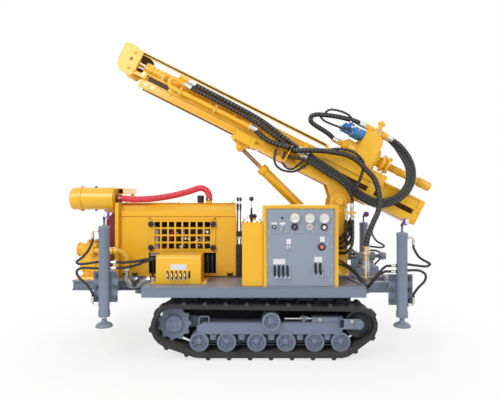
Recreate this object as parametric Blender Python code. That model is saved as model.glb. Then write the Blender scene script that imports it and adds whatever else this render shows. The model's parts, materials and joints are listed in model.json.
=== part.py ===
"""Small tracked water well drilling rig.

Metres, +Z up. X runs along the tracks, with the mast's crown towards -X at rest.
Y = 0 is the machine's centre plane, the control side is at -Y, and Z = 0 is the ground.
"""
import bpy
import bmesh
from math import cos, sin, pi, radians, hypot, atan2
from mathutils import Matrix, Vector

for old in list(bpy.data.objects):
    bpy.data.objects.remove(old, do_unlink=True)

# sizes
GAP = 0.0003                 # between touching pieces
CLEAR = 0.006                # between pieces that move past each other

# tracks
TRACK_Y = 0.63               # centre of each track
TRACK_W = 0.30
BELT_T = 0.040
LUG_H = 0.025
SPROCKET = (-0.944, 0.349)
SPROCKET_R = 0.185
IDLER = (1.000, 0.360)
IDLER_R = 0.147
ROLLER_R = 0.104
ROLLER_Z = LUG_H + BELT_T + ROLLER_R
BELT_STEP = 0.056            # one straight step of the belt round a wheel
ROLLER_X = (-0.673, -0.386, -0.070, 0.239, 0.540, 0.815)
TOP_ROLLER = (0.080, 0.403)
STATIONS = 92                # belt segments, four for each lug of a row

# deck and frames
DECK_X = (-1.26, 1.06)
DECK_Y = 0.80
DECK_Z = (0.656, 0.764)
DECK_TOP = DECK_Z[1] + GAP
SLOT_Y = 0.25                # half width of the slot that the upright mast stands in

# engine housing
HOUSE_X = (-1.64, -0.31)
HOUSE_Y = (-0.23, 0.42)
HOUSE_Z = (DECK_TOP + 0.012, 1.612)
SHEET = 0.02
GRILLE_X = (-1.307, -0.533)
GRILLE_Z = (1.046, 1.451)
REST_UP = 0.178              # mast rest over the housing's roof

# boxes on the deck
PANEL_X = (-0.001, 0.777)
PANEL_Y = (-0.78, -0.40)
PANEL_Z = 1.609
TANK_X = (-0.221, -0.004)
TANK_Y = (-0.76, -0.32)
TANK_Z = 1.428

# mast, in its own frame: u up the mast from the pivot, v square to it
PIVOT = (0.896, 1.636)
REST_TILT = radians(26.7)
RAIL_V = (0.160, 0.450)
RAIL_Y = (0.095, 0.150)
FOOT_U = -0.92
CROWN_U = 3.10
FEED_V = 0.400
FEED_R = 0.062
CARRIAGE_V = (RAIL_V[1] + 0.028, RAIL_V[1] + 0.050)
HEAD_UP = 0.155              # drill spindle's axis over the carriage
HEAD_V = CARRIAGE_V[1] + HEAD_UP
EYE = (1.32, 0.061)          # lift cylinder's eye
LIFT_BASE = (0.72, 1.32)

# jacks
JACK_X = (-1.642, 1.428)
JACK_Y = 0.80
JACK_Z = {"front": (0.463, 1.396), "rear": (0.454, 1.327)}
JACK_R = 0.054

YELLOW = ("yellow", (0.87, 0.50, 0.05), 0.35, 0.0)
GREY = ("grey_blue", (0.20, 0.26, 0.38), 0.45, 0.0)
PLATE = ("plate_grey", (0.27, 0.33, 0.41), 0.45, 0.0)
RUBBER = ("black_rubber", (0.02, 0.02, 0.02), 0.8, 0.0)
DARK = ("dark_metal", (0.05, 0.05, 0.06), 0.5, 0.6)
STEEL = ("steel", (0.7, 0.7, 0.68), 0.25, 1.0)
BRASS = ("brass", (0.75, 0.60, 0.35), 0.3, 1.0)
RED = ("red_hose", (0.70, 0.05, 0.08), 0.4, 0.0)
DARK_RED = ("dark_red", (0.25, 0.01, 0.01), 0.5, 0.0)
BLUE = ("motor_blue", (0.03, 0.20, 0.55), 0.35, 0.0)


# shapes: each is (points, faces)
def box(x, y, z):
    p = [(a, b, c) for a in x for b in y for c in z]
    return p, [(0, 1, 3, 2), (4, 6, 7, 5), (0, 4, 5, 1), (2, 3, 7, 6), (0, 2, 6, 4), (1, 5, 7, 3)]


def prism(outline, axis, span):
    """An outline in the plane square to axis, carried from span[0] to span[1]."""
    n = len(outline)
    place = {"x": lambda a, b, t: (t, a, b), "y": lambda a, b, t: (a, t, b), "z": lambda a, b, t: (a, b, t)}[axis]
    p = [place(a, b, t) for t in span for a, b in outline]
    f = [tuple(range(n)), tuple(range(2 * n - 1, n - 1, -1))]
    f += [(i, i + n, (i + 1) % n + n, (i + 1) % n) for i in range(n)]
    return p, f


def turned(profile, start, axis, sides=20, phase=0.5):
    """A profile of (distance along, radius) turned about an axis, with a flat face at each open end."""
    if profile[0][1] == 0 and profile[0][0] == profile[1][0]:
        profile = profile[1:]
    if profile[-1][1] == 0 and profile[-1][0] == profile[-2][0]:
        profile = profile[:-1]
    w = Vector(axis).normalized()
    a = w.orthogonal().normalized()
    if abs(w.z) < 0.9:
        a = w.cross(Vector((0, 0, 1))).normalized()
    b = w.cross(a)
    p, rings, f = [], [], []
    for along, r in profile:
        centre = Vector(start) + w * along
        if r < 1e-6:
            rings.append([len(p)])
            p.append(tuple(centre))
        else:
            rings.append(list(range(len(p), len(p) + sides)))
            for i in range(sides):
                t = 2 * pi * (i + phase) / sides
                p.append(tuple(centre + (a * cos(t) + b * sin(t)) * r))
    for one, two in zip(rings, rings[1:]):
        for i in range(sides):
            j = (i + 1) % sides
            if len(one) == 1 and len(two) == 1:
                continue
            if len(one) == 1:
                f.append((one[0], two[i], two[j]))
            elif len(two) == 1:
                f.append((one[i], two[0], one[j]))
            else:
                f.append((one[i], two[i], two[j], one[j]))
    if len(rings[0]) > 1:
        f.append(tuple(rings[0]))
    if len(rings[-1]) > 1:
        f.append(tuple(reversed(rings[-1])))
    return p, f


def rod(start, end, r, sides=16, r2=None):
    d = Vector(end) - Vector(start)
    return turned([(0, r), (d.length, r if r2 is None else r2)], start, d, sides)


def ring(start, axis, length, inner, outer, sides=24):
    """A plain tube about an axis."""
    w = Vector(axis).normalized()
    a = w.cross(Vector((0, 0, 1))).normalized() if abs(w.z) < 0.9 else Vector((1, 0, 0))
    b = w.cross(a)
    p = []
    for along, r in ((0, inner), (0, outer), (length, outer), (length, inner)):
        for i in range(sides):
            t = 2 * pi * (i + 0.5) / sides
            p.append(tuple(Vector(start) + w * along + (a * cos(t) + b * sin(t)) * r))
    f = []
    for k in range(4):
        m = (k + 1) % 4
        for i in range(sides):
            j = (i + 1) % sides
            f.append((k * sides + i, m * sides + i, m * sides + j, k * sides + j))
    return p, f


def swept(points, r, sides=12):
    """A round bar bent along a path, with flat ends."""
    pts = [Vector(q) for q in points]
    steps = [(b - a).normalized() for a, b in zip(pts, pts[1:])]
    heading = [steps[0]] + [(a + b).normalized() for a, b in zip(steps, steps[1:])] + [steps[-1]]
    side = heading[0].orthogonal().normalized()
    p = []
    for q, w in zip(pts, heading):
        side = (side - w * side.dot(w)).normalized()
        other = w.cross(side)
        p += [tuple(q + (side * cos(2 * pi * i / sides) + other * sin(2 * pi * i / sides)) * r) for i in range(sides)]
    f = [tuple(range(sides)), tuple(range(len(p) - 1, len(p) - sides - 1, -1))]
    for k in range(len(pts) - 1):
        f += [(k * sides + i, (k + 1) * sides + i, (k + 1) * sides + (i + 1) % sides, k * sides + (i + 1) % sides)
              for i in range(sides)]
    return p, f


def moved(shape, matrix):
    return [tuple(matrix @ Vector(q)) for q in shape[0]], shape[1]


def mirror_y(shape):
    return [(x, -y, z) for x, y, z in shape[0]], [tuple(reversed(q)) for q in shape[1]]


def arc(cx, cz, r, start, end, steps):
    return [(cx + r * cos(radians(start + (end - start) * i / steps)),
             cz + r * sin(radians(start + (end - start) * i / steps))) for i in range(steps + 1)]


def plain_object(name, shape):
    mesh = bpy.data.meshes.new(name)
    mesh.from_pydata(shape[0], [], shape[1])
    bm = bmesh.new()
    bm.from_mesh(mesh)
    bmesh.ops.remove_doubles(bm, verts=bm.verts, dist=1e-6)
    bmesh.ops.recalc_face_normals(bm, faces=bm.faces)
    bm.to_mesh(mesh)
    bm.free()
    obj = bpy.data.objects.new(name, mesh)
    bpy.context.scene.collection.objects.link(obj)
    return obj


MATERIALS = {}


def finish_of(finish):
    name, colour, rough, metal = finish
    if name not in MATERIALS:
        mat = bpy.data.materials.new(name)
        mat.use_nodes = True
        shader = mat.node_tree.nodes["Principled BSDF"]
        shader.inputs["Base Color"].default_value = (*colour, 1)
        shader.inputs["Roughness"].default_value = rough
        shader.inputs["Metallic"].default_value = metal
        MATERIALS[name] = mat
    return MATERIALS[name]


def piece(name, finish, shapes, cuts=(), origin=(0, 0, 0), matrix=None):
    """Join the shapes into one solid, take the cuts out of it, and name it."""
    obj = plain_object(name, shapes[0])
    helpers = []
    for operation, group in (("UNION", shapes[1:]), ("DIFFERENCE", cuts)):
        for shape in group:
            other = plain_object("operand", shape)
            helpers.append(other)
            mod = obj.modifiers.new(operation, "BOOLEAN")
            mod.operation = operation
            mod.solver = "EXACT"
            mod.object = other
    if helpers:
        bpy.context.view_layer.update()
        graph = bpy.context.evaluated_depsgraph_get()
        mesh = bpy.data.meshes.new_from_object(obj.evaluated_get(graph))
        obj.modifiers.clear()
        obj.data = mesh
        for other in helpers:
            bpy.data.objects.remove(other, do_unlink=True)
        bm = bmesh.new()
        bm.from_mesh(obj.data)
        bmesh.ops.remove_doubles(bm, verts=bm.verts, dist=1e-5)
        bmesh.ops.dissolve_degenerate(bm, edges=bm.edges, dist=1e-5)
        bm.to_mesh(obj.data)
        bm.free()
    obj.data.materials.clear()
    obj.data.materials.append(finish_of(finish))
    if matrix is not None:
        obj.data.transform(matrix)
    o = Vector(origin)
    obj.data.transform(Matrix.Translation(-o))
    obj.location = o
    return obj


def smooth_route(points, count):
    """Points along a Catmull-Rom curve through the route's own points."""
    p = [Vector(q) for q in points]
    p = [p[0] * 2 - p[1]] + p + [p[-1] * 2 - p[-2]]
    fine = []
    for i in range(1, len(p) - 2):
        for k in range(12):
            t = k / 12
            a, b, c, d = p[i - 1], p[i], p[i + 1], p[i + 2]
            fine.append(0.5 * (2 * b + (c - a) * t + (2 * a - 5 * b + 4 * c - d) * t * t
                               + (3 * b - a - 3 * c + d) * t ** 3))
    fine.append(p[-2])
    run = [0.0]
    for a, b in zip(fine, fine[1:]):
        run.append(run[-1] + (b - a).length)
    out, k = [], 0
    for i in range(count):
        s = run[-1] * i / (count - 1)
        while k < len(run) - 2 and run[k + 1] < s:
            k += 1
        f = (s - run[k]) / max(run[k + 1] - run[k], 1e-9)
        out.append(fine[k].lerp(fine[k + 1], min(max(f, 0), 1)))
    return out


def hose(name, finish, route, d, count=20):
    """A flexible hose: a curve with a round section and closed ends, straight over its first and last steps."""
    curve = bpy.data.curves.new(name, "CURVE")
    curve.dimensions = "3D"
    curve.bevel_depth = d / 2
    curve.bevel_resolution = 2
    curve.use_fill_caps = True
    spline = curve.splines.new("POLY")
    pts = [Vector(route[0])] + smooth_route(route[1:-1], count - 2) + [Vector(route[-1])]
    spline.points.add(len(pts) - 1)
    for point, q in zip(spline.points, pts):
        point.co = (*q, 1)
    curve.materials.append(finish_of(finish))
    obj = bpy.data.objects.new(name, curve)
    bpy.context.scene.collection.objects.link(obj)
    return obj


def mast_matrix():
    """Mast frame (-u, y, v) to the machine's frame at rest."""
    return Matrix.Translation((PIVOT[0], 0, PIVOT[1])) @ Matrix.Rotation(REST_TILT, 4, "Y")


def m_box(u, y, v):
    return box((-u[1], -u[0]), y, v)


def m_prism(outline, y):
    """An outline of (u, v) points, carried across the mast."""
    return prism([(-u, v) for u, v in outline], "y", y)


def m_rod(start, end, r, sides=16, r2=None):
    return rod((-start[0], start[1], start[2]), (-end[0], end[1], end[2]), r, sides, r2)


MAST = mast_matrix()
PIVOT_POINT = (PIVOT[0], 0, PIVOT[1])


# tracks
def hull(points):
    points = sorted(set(points))
    out = []
    for seq in (points, list(reversed(points))):
        part = []
        for q in seq:
            while len(part) > 1 and ((part[-1][0] - part[-2][0]) * (q[1] - part[-2][1])
                                     - (part[-1][1] - part[-2][1]) * (q[0] - part[-2][0])) <= 1e-12:
                part.pop()
            part.append(q)
        out += part[:-1]
    return out


def under_belt(r):
    """The radius of a wheel that just clears a belt of straight steps laid round r."""
    return r * cos(BELT_STEP / 2 / r) - GAP


def belt_line():
    """The belt's inner line round the wheels, as evenly spaced points with outward normals."""
    circles = [(*SPROCKET, SPROCKET_R), (*IDLER, IDLER_R)]
    circles += [(x, ROLLER_Z, ROLLER_R) for x in (ROLLER_X[0], ROLLER_X[-1])]
    ring_points = []
    for cx, cz, r in circles:
        ring_points += [(cx + r * cos(2 * pi * k / 96), cz + r * sin(2 * pi * k / 96)) for k in range(96)]
    line = hull(ring_points)
    run = [0.0]
    for i, a in enumerate(line):
        b = line[(i + 1) % len(line)]
        run.append(run[-1] + hypot(b[0] - a[0], b[1] - a[1]))
    pts, k = [], 0
    for i in range(STATIONS):
        s = run[-1] * i / STATIONS
        while run[k + 1] < s:
            k += 1
        a, b = line[k % len(line)], line[(k + 1) % len(line)]
        f = (s - run[k]) / (run[k + 1] - run[k])
        pts.append((a[0] + (b[0] - a[0]) * f, a[1] + (b[1] - a[1]) * f))
    normals = []
    for i in range(STATIONS):
        a, b = pts[i - 1], pts[(i + 1) % STATIONS]
        t = (b[0] - a[0], b[1] - a[1])
        size = hypot(*t)
        normals.append((t[1] / size, -t[0] / size))
    return pts, normals


def track(name, side):
    """One closed belt whose outer face rises into two staggered rows of lugs."""
    pts, normals = belt_line()
    y0 = side * TRACK_Y
    columns = [y0 - TRACK_W / 2, y0 - 0.012, y0 + 0.012, y0 + TRACK_W / 2]
    bm = bmesh.new()
    inner, outer = [], []
    for (x, z), (nx, nz) in zip(pts, normals):
        inner.append([bm.verts.new((x, y, z)) for y in (columns[0], columns[-1])])
        outer.append([bm.verts.new((x + nx * BELT_T, y, z + nz * BELT_T)) for y in columns])
    lugs = []
    for i in range(STATIONS):
        j = (i + 1) % STATIONS
        bm.faces.new((inner[i][0], inner[j][0], inner[j][1], inner[i][1]))
        for c in range(3):
            f = bm.faces.new((outer[i][c], outer[i][c + 1], outer[j][c + 1], outer[j][c]))
            if (c == 0 and i % 4 == 0) or (c == 2 and i % 4 == 2):
                lugs.append((f, normals[i], normals[j]))
        bm.faces.new((inner[i][0], outer[i][0], outer[j][0], inner[j][0]))
        bm.faces.new((inner[i][1], inner[j][1], outer[j][3], outer[i][3]))
    holes = [e for e in bm.edges if len(e.link_faces) == 1]
    assert not holes
    for f, n1, n2 in lugs:
        n = Vector((n1[0] + n2[0], 0, n1[1] + n2[1])).normalized()
        top = bmesh.ops.extrude_discrete_faces(bm, faces=[f])["faces"][0]
        centre = top.calc_center_median()
        for v in top.verts:
            v.co = v.co + n * LUG_H
            v.co.x = centre.x + n.x * LUG_H + (v.co.x - centre.x - n.x * LUG_H) * 0.55
            v.co.z = centre.z + n.z * LUG_H + (v.co.z - centre.z - n.z * LUG_H) * 0.55
            v.co.y = centre.y + (v.co.y - centre.y) * 0.9
    for v in bm.verts:
        v.co.z = max(v.co.z, 0.0)
    bmesh.ops.recalc_face_normals(bm, faces=bm.faces)
    mesh = bpy.data.meshes.new(name)
    bm.to_mesh(mesh)
    bm.free()
    mesh.materials.append(finish_of(RUBBER))
    obj = bpy.data.objects.new(name, mesh)
    bpy.context.scene.collection.objects.link(obj)


def roller(x, z, y, side):
    """A deep-rimmed roller, open towards the outside of the machine."""
    half = 0.085
    r = ROLLER_R - 0.0032
    profile = [(0, r), (2 * half, r), (2 * half, 0.080), (2 * half - 0.030, 0.072)]
    return turned(profile, (x, y - side * half, z), (0, side, 0), 14)


FRAME_Z = (0.275, 0.375)


def track_frame(name, side):
    y = side * TRACK_Y
    yi, yo = side * (TRACK_Y - 0.15), side * (TRACK_Y + 0.105)
    rail = [(-0.70, FRAME_Z[0] + 0.02), (-0.66, FRAME_Z[0]), (0.80, FRAME_Z[0]), (0.84, FRAME_Z[0] + 0.03),
            (0.84, FRAME_Z[1] + 0.01), (0.78, FRAME_Z[1]), (-0.62, FRAME_Z[1]), (-0.70, FRAME_Z[1] - 0.03)]
    shapes = [prism(rail, "y", sorted((y - side * 0.11, y + side * 0.11)))]
    for x in ROLLER_X:
        shapes.append(roller(x, ROLLER_Z, y, side))
    shapes.append(box((ROLLER_X[0] - 0.02, ROLLER_X[-1] + 0.02), sorted((y - side * 0.1, y - side * 0.082)),
                      (LUG_H + BELT_T + 0.035, FRAME_Z[0] + 0.02)))
    cuts = []
    tx, tz = TOP_ROLLER
    shapes.append(turned([(0, 0.085), (0.14, 0.085), (0.14, 0.066), (0.12, 0.060)],
                         (tx, y - side * 0.07, tz), (0, side, 0), 14))
    shapes.append(box((tx - 0.05, tx + 0.05), sorted((y - side * 0.10, y - side * 0.065)), (FRAME_Z[1] - 0.02, tz)))
    # tensioner and the idler's yoke
    ez = IDLER[1]
    shapes.append(box((0.40, 0.70), sorted((y - side * 0.04, y + side * 0.06)), (FRAME_Z[1] - 0.02, FRAME_Z[1] + 0.062)))
    shapes.append(rod((0.22, y + side * 0.02, FRAME_Z[1] + 0.03), (0.42, y + side * 0.02, FRAME_Z[1] + 0.03), 0.014, 12))
    shapes.append(box((0.20, 0.235), sorted((y - side * 0.03, y + side * 0.05)), (FRAME_Z[1] - 0.02, FRAME_Z[1] + 0.062)))
    for yy in (y - side * 0.10, y + side * 0.10):
        shapes.append(box((0.62, IDLER[0]), sorted((yy - 0.012, yy + 0.012)), (ez - 0.035, ez + 0.045)))
        shapes.append(turned([(0, 0), (0, 0.045), (0.03, 0.045), (0.03, 0)], (IDLER[0], yy - 0.015, ez), (0, 1, 0), 16))
    shapes.append(box((0.60, 0.67), sorted((y - side * 0.113, y + side * 0.113)), (FRAME_Z[1] - 0.043, ez + 0.040)))
    shapes.append(rod((IDLER[0], y - side * 0.10, ez), (IDLER[0], y + side * 0.10, ez), 0.0245, 16))
    # mount of the drive motor, and the arm that carries it
    shapes.append(prism([(-0.60, FRAME_Z[0]), (-0.60, FRAME_Z[1]), (SPROCKET[0], SPROCKET[1] + 0.085),
                         (SPROCKET[0] - 0.06, SPROCKET[1] + 0.06), (SPROCKET[0] - 0.085, SPROCKET[1]),
                         (SPROCKET[0] - 0.06, SPROCKET[1] - 0.06), (SPROCKET[0], SPROCKET[1] - 0.085)],
                        "y", sorted((y - side * 0.145, y - side * 0.115))))
    shapes.append(box((-0.68, -0.57), sorted((y - side * 0.14, y - side * 0.083)), (FRAME_Z[0] + 0.005, FRAME_Z[1] - 0.005)))
    shapes.append(turned([(0, 0), (0, 0.075), (0.07, 0.075), (0.07, 0)],
                         (SPROCKET[0], y - side * 0.13, SPROCKET[1]), (0, side, 0), 16))
    # feet that meet the centre beams
    for x in (-0.45, 0.45):
        shapes.append(box((x - 0.09, x + 0.09), sorted((yi, y - side * 0.10)), (FRAME_Z[0] + 0.01, FRAME_Z[1] - 0.005)))
    piece(name, GREY, shapes, cuts)


def sprocket(name, side):
    """Drive wheel with eleven teeth round a bolted hub."""
    teeth, tip = 11, under_belt(SPROCKET_R)
    root = tip - 0.024
    outline = []
    for k in range(teeth):
        for part, r in ((-0.30, root), (-0.12, tip), (0.12, tip), (0.30, root)):
            t = 2 * pi * (k + part) / teeth
            outline.append((SPROCKET[0] + r * cos(t), SPROCKET[1] + r * sin(t)))
    y = side * TRACK_Y
    shapes = [prism(outline, "y", sorted((y - side * 0.02, y + side * 0.02))),
              turned([(0, 0), (0, 0.085), (0.055, 0.085), (0.075, 0.070), (0.075, 0.050), (0.095, 0.045), (0.095, 0)],
                     (SPROCKET[0], y - side * (0.06 - GAP), SPROCKET[1]), (0, side, 0), 20)]
    piece(name, GREY, shapes)


def idler(name, side):
    y = side * TRACK_Y
    r = under_belt(IDLER_R)
    sides = 20
    profile = [(0, 0.0255), (0, 0.050), (0.03, r - 0.03), (0, r - 0.02), (0, r), (0.16, r),
               (0.16, r - 0.02), (0.13, r - 0.03), (0.16, 0.050), (0.16, 0.0255)]
    points, faces = turned(profile, (IDLER[0], y - side * 0.08, IDLER[1]), (0, side, 0), sides)
    # the axle's bore closes the profile, in place of the two end faces
    last = (len(profile) - 1) * sides
    faces = [f for f in faces if len(f) == 4] + [(last + i, i, (i + 1) % sides, last + (i + 1) % sides) for i in range(sides)]
    piece(name, GREY, [(points, faces)])


for name, side in (("near", -1), ("far", 1)):
    track("track_" + name, side)
    track_frame("track_frame_" + name, side)
    sprocket("sprocket_" + name, side)
    idler("idler_" + name, side)

# centre beams between the tracks, up to the deck
CHASSIS_Y = TRACK_Y - 0.15 - GAP
shapes = [box((x - 0.09, x + 0.09), (-CHASSIS_Y, CHASSIS_Y), (FRAME_Z[0] + 0.01, FRAME_Z[1] - 0.005)) for x in (-0.45, 0.45)]
belly = [(-0.36, DECK_Z[0] - GAP), (-0.36, 0.40), (-0.28, 0.33), (0.28, 0.33), (0.36, 0.40), (0.36, DECK_Z[0] - GAP)]
shapes.append(prism(belly, "x", (-0.84, 0.84)))
piece("chassis", GREY, shapes)

# deck and the frames at its ends
d0, d1 = DECK_X
t = 0.012
shapes = [box((d0, d1), (-DECK_Y, DECK_Y), (DECK_Z[1] - t, DECK_Z[1]))]
shapes += [box((d0, d1), sorted((s * DECK_Y, s * (DECK_Y - 0.045))), DECK_Z) for s in (-1, 1)]
shapes += [box((d0, d0 + 0.05), (-DECK_Y, DECK_Y), DECK_Z), box((d1 - 0.05, d1), (-DECK_Y, DECK_Y), DECK_Z)]
shapes += [box((d0, d1), (s * 0.41 - 0.04, s * 0.41 + 0.04), DECK_Z) for s in (-1, 1)]
shapes += [box((x - 0.03, x + 0.03), (-DECK_Y + 0.01, DECK_Y - 0.01), DECK_Z) for x in (-0.55, 0.3)]
cuts = [box((d1 - 0.045, d1 + 0.05), (-SLOT_Y, SLOT_Y), (0.6, 0.8))]
piece("deck_frame", GREY, shapes, cuts)

# beams that carry the housing's end, the pump and the jacks there
shapes = []
for s in (-1, 1):
    y = s * 0.41
    shapes.append(box((-2.11, d0 - GAP), (y - 0.04, y + 0.04), (DECK_Z[0] + 0.097, DECK_Z[1])))
    shapes.append(box((-2.11, d0 - GAP), (y - 0.04, y + 0.04), (DECK_Z[0], DECK_Z[0] + 0.012)))
    shapes.append(box((-2.11, d0 - GAP), (y - 0.008, y + 0.008), (DECK_Z[0] + 0.006, DECK_Z[1] - 0.006)))
shapes += [box((x - 0.04, x + 0.04), (-0.41, 0.41), (DECK_Z[0] + 0.003, DECK_Z[1] - 0.003)) for x in (-2.06, -1.32)]
shapes.append(box((JACK_X[0] - 0.06, JACK_X[0] + 0.06), (-JACK_Y + 0.074, JACK_Y - 0.074), (DECK_Z[0] + 0.005, DECK_Z[1])))
piece("front_subframe", GREY, shapes)

# outrigger frame at the mast's end, open in the middle for the upright mast
shapes = []
for s in (-1, 1):
    shapes.append(box((d1 + GAP, 1.37), sorted((s * (SLOT_Y + 0.01), s * (SLOT_Y + 0.09))), (0.655, 0.78)))
    shapes.append(box((JACK_X[1] - 0.06, JACK_X[1] + 0.06), sorted((s * (SLOT_Y + 0.01), s * (JACK_Y - 0.074))), (0.66, 0.80)))
    shapes.append(box((d1 + GAP, 1.40), sorted((s * 0.52, s * 0.60)), (0.665, 0.775)))
shapes = shapes[:3], shapes[3:]
for name, group in (("rear_frame_near", shapes[0]), ("rear_frame_far", shapes[1])):
    piece(name, GREY, group)

# jacks
for end, x, out in (("front", JACK_X[0], -1), ("rear", JACK_X[1], 1)):
    for name, s in (("near", -1), ("far", 1)):
        y = s * JACK_Y
        z0, z1 = JACK_Z[end]
        shapes = [turned([(0, 0.060), (0.07, 0.060), (0.07, JACK_R), (z1 - z0 - 0.03, JACK_R), (z1 - z0 - 0.03, 0.058),
                          (z1 - z0, 0.058)], (x, y, z0), (0, 0, 1), 14)]
        plate_z = (0.60, 0.92) if end == "front" else (0.57, 0.89)
        shapes.append(box((x - 0.125, x + 0.125), sorted((y - s * 0.040, y - s * 0.058)), plate_z))
        shapes.append(box((x - 0.11, x + 0.11), sorted((y - s * 0.055, y - s * (0.074 - GAP))), (plate_z[0] + 0.02, plate_z[1] - 0.02)))
        shapes.append(rod((x + out * 0.04, y, z1 - 0.05), (x + out * 0.095, y, z1 - 0.05), 0.014, 8))
        shapes.append(rod((x + out * 0.04, y, z0 + 0.13), (x + out * 0.095, y, z0 + 0.13), 0.014, 8))
        shapes.append(rod((x, y, z1 - 0.01), (x, y, z1 + 0.05), 0.012, 8))
        cuts = [rod((x, y, z0 - 0.01), (x, y, z1 - 0.06), 0.0255, 14)]
        piece(f"jack_tube_{end}_{name}", GREY, shapes, cuts, origin=(x, y, z0))
        foot = [turned([(0, 0.088), (0.020, 0.088), (0.048, 0.070), (0.066, 0.036), (0.084, 0.033), (0.110, 0.025),
                        (0.86, 0.025)], (x, y, 0.335), (0, 0, 1), 14)]
        piece(f"jack_foot_{end}_{name}", GREY, foot, origin=(x, y, z0))

# engine housing
hx, hy, hz = HOUSE_X, HOUSE_Y, HOUSE_Z
section = [(hy[0], hz[0]), (hy[1], hz[0]), (hy[1], hz[1] - 0.03), (hy[1] - 0.03, hz[1]), (hy[0] + 0.11, hz[1]), (hy[0], hz[1] - 0.086)]
inside = [(hy[0] + SHEET, hz[0] + SHEET), (hy[1] - SHEET, hz[0] + SHEET), (hy[1] - SHEET, hz[1] - 0.04),
          (hy[1] - 0.04, hz[1] - SHEET), (hy[0] + 0.118, hz[1] - SHEET), (hy[0] + SHEET, hz[1] - 0.095)]
shapes = [prism(section, "x", hx)]
cuts = [prism(inside, "x", (hx[0] + SHEET, hx[1] - SHEET)),
        box((GRILLE_X[0], GRILLE_X[1]), (hy[0] - 0.02, hy[0] + 0.03), (hz[0] + 0.03, GRILLE_Z[1])),
        box((-1.30, -0.60), (hy[0] + 0.1, hy[1] - 0.1), (hz[0] - 0.02, hz[0] + 0.03)),
        rod((-0.74, 0.06, hz[1] - 0.04), (-0.74, 0.06, hz[1] + 0.04), 0.040 + GAP, 16)]
for k in range(4):
    cuts.append(box((hx[1] - 0.03, hx[1] + 0.01), (hy[0] + 0.12, hy[1] - 0.12), (1.05 + k * 0.1, 1.10 + k * 0.1)))
feet = [box((x - 0.035, x + 0.035), (y - 0.03, y + 0.03), (DECK_TOP, hz[0] + 0.01))
        for x in (hx[0] + 0.04, hx[1] - 0.10) for y in (hy[0] + 0.05, hy[1] - 0.05)]
feet.append(rod((-0.63, -0.02, hz[1] - 0.01), (-0.63, -0.02, hz[1] + 0.03), 0.037, 16))
piece("engine_housing", YELLOW, shapes + feet, cuts)

# front panel with its grid of square holes
gx, gz = (GRILLE_X[0] + GAP, GRILLE_X[1] - GAP), (GRILLE_Z[0], GRILLE_Z[1] - GAP)
shapes = [box(gx, (hy[0] - 0.006, hy[0] + SHEET - GAP), gz)]
cuts = [box((x, x + 0.064), (hy[0] - 0.02, hy[0] + 0.04), (z, z + 0.064))
        for x in [-1.242 + k * 0.0826 for k in range(8)] for z in [1.09 + k * 0.0826 for k in range(4)]]
for x in (gx[0] + 0.030, gx[1] - 0.030):
    for z in (1.107, 1.378):
        shapes.append(rod((x, hy[0] + 0.01, z), (x, hy[0] - 0.035, z), 0.030, 10))
piece("grille_panel", YELLOW, shapes, cuts)

piece("engine_block", DARK, [box((-1.36, -0.60), (-0.12, 0.30), (hz[0] + SHEET + GAP, 1.35)),
                             rod((-0.74, 0.06, 1.30), (-0.74, 0.06, 1.70), 0.040, 16)])

# radiator cowl at the housing's end
piece("radiator_cowl", DARK_RED, [prism([(-1.82, 1.10), (hx[0] - 0.002 - GAP, 1.10), (hx[0] - 0.002 - GAP, 1.50), (-1.75, 1.50), (-1.82, 1.42)], "y", (-0.16, 0.34)),
                                  box((-1.735, hx[0] - 0.01), (-0.10, 0.28), (DECK_TOP, 1.11))])

# portal that carries the mast on the road
rx = (-1.650, -1.570)
ry0, ry1 = hy[0] - 0.09, hy[1] + 0.09
rest_z = hz[1] + REST_UP
portal = [box((rx[1] - 0.046, rx[1] - 0.001), (y - 0.035, y + 0.035), (DECK_TOP, rest_z - 0.01)) for y in (ry0, ry1)]
portal += [box((rx[0] - 0.02, rx[1] + 0.02), y, (DECK_TOP, DECK_TOP + 0.012)) for y in ((-0.44, ry0 + 0.03), (hy[1] + 0.005, ry1 + 0.03))]
portal.append(box(rx, (ry0 - 0.035, ry1 + 0.035), (rest_z - 0.07, rest_z)))
cuts = [box((rx[0] + 0.008, rx[1] - 0.008), (ry0 - 0.05, ry0 + 0.03), (rest_z - 0.062, rest_z - 0.008))]
piece("mast_rest", YELLOW, portal, cuts)
# air cleaner at the housing's end, and the hose from it to the engine
AIR = (-0.20, rest_z - 0.120)
AIR_X, AIR_L = -2.20, 0.535
air = [turned([(0, 0), (0, 0.112), (0.02, 0.128), (0.10, 0.128), (0.10, 0.138), (0.13, 0.138), (0.13, 0.128), (0.465, 0.128),
               (0.465, 0.134), (0.495, 0.134), (0.495, 0.040), (AIR_L, 0.038), (AIR_L, 0)], (AIR_X, *AIR), (1, 0, 0), 20)]
air.append(box((-1.80, rx[1] - 0.046 - GAP), (-0.345, -0.25), (AIR[1] - 0.10, AIR[1] - 0.03)))
piece("air_cleaner", YELLOW, air)
SPIGOT_Z = hz[1] + 0.03
HOSE_START = (AIR_X + AIR_L + GAP, AIR[0], AIR[1])
under_rest = hz[1] + (REST_UP - 0.070) / 2
intake_route = [HOSE_START, (HOSE_START[0] + 0.04, AIR[0], AIR[1]), (-1.57, -0.20, under_rest + 0.002), (-1.47, -0.195, under_rest - 0.006),
                (-1.28, -0.17, 1.668), (-1.06, -0.11, 1.702), (-0.875, -0.055, 1.750), (-0.745, -0.035, 1.792),
                (-0.675, -0.025, 1.776), (-0.638, -0.02, 1.730), (-0.63, -0.02, SPIGOT_Z + 0.05), (-0.63, -0.02, SPIGOT_Z + GAP)]
hose("intake_hose", RED, intake_route, 0.074, 26)

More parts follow.
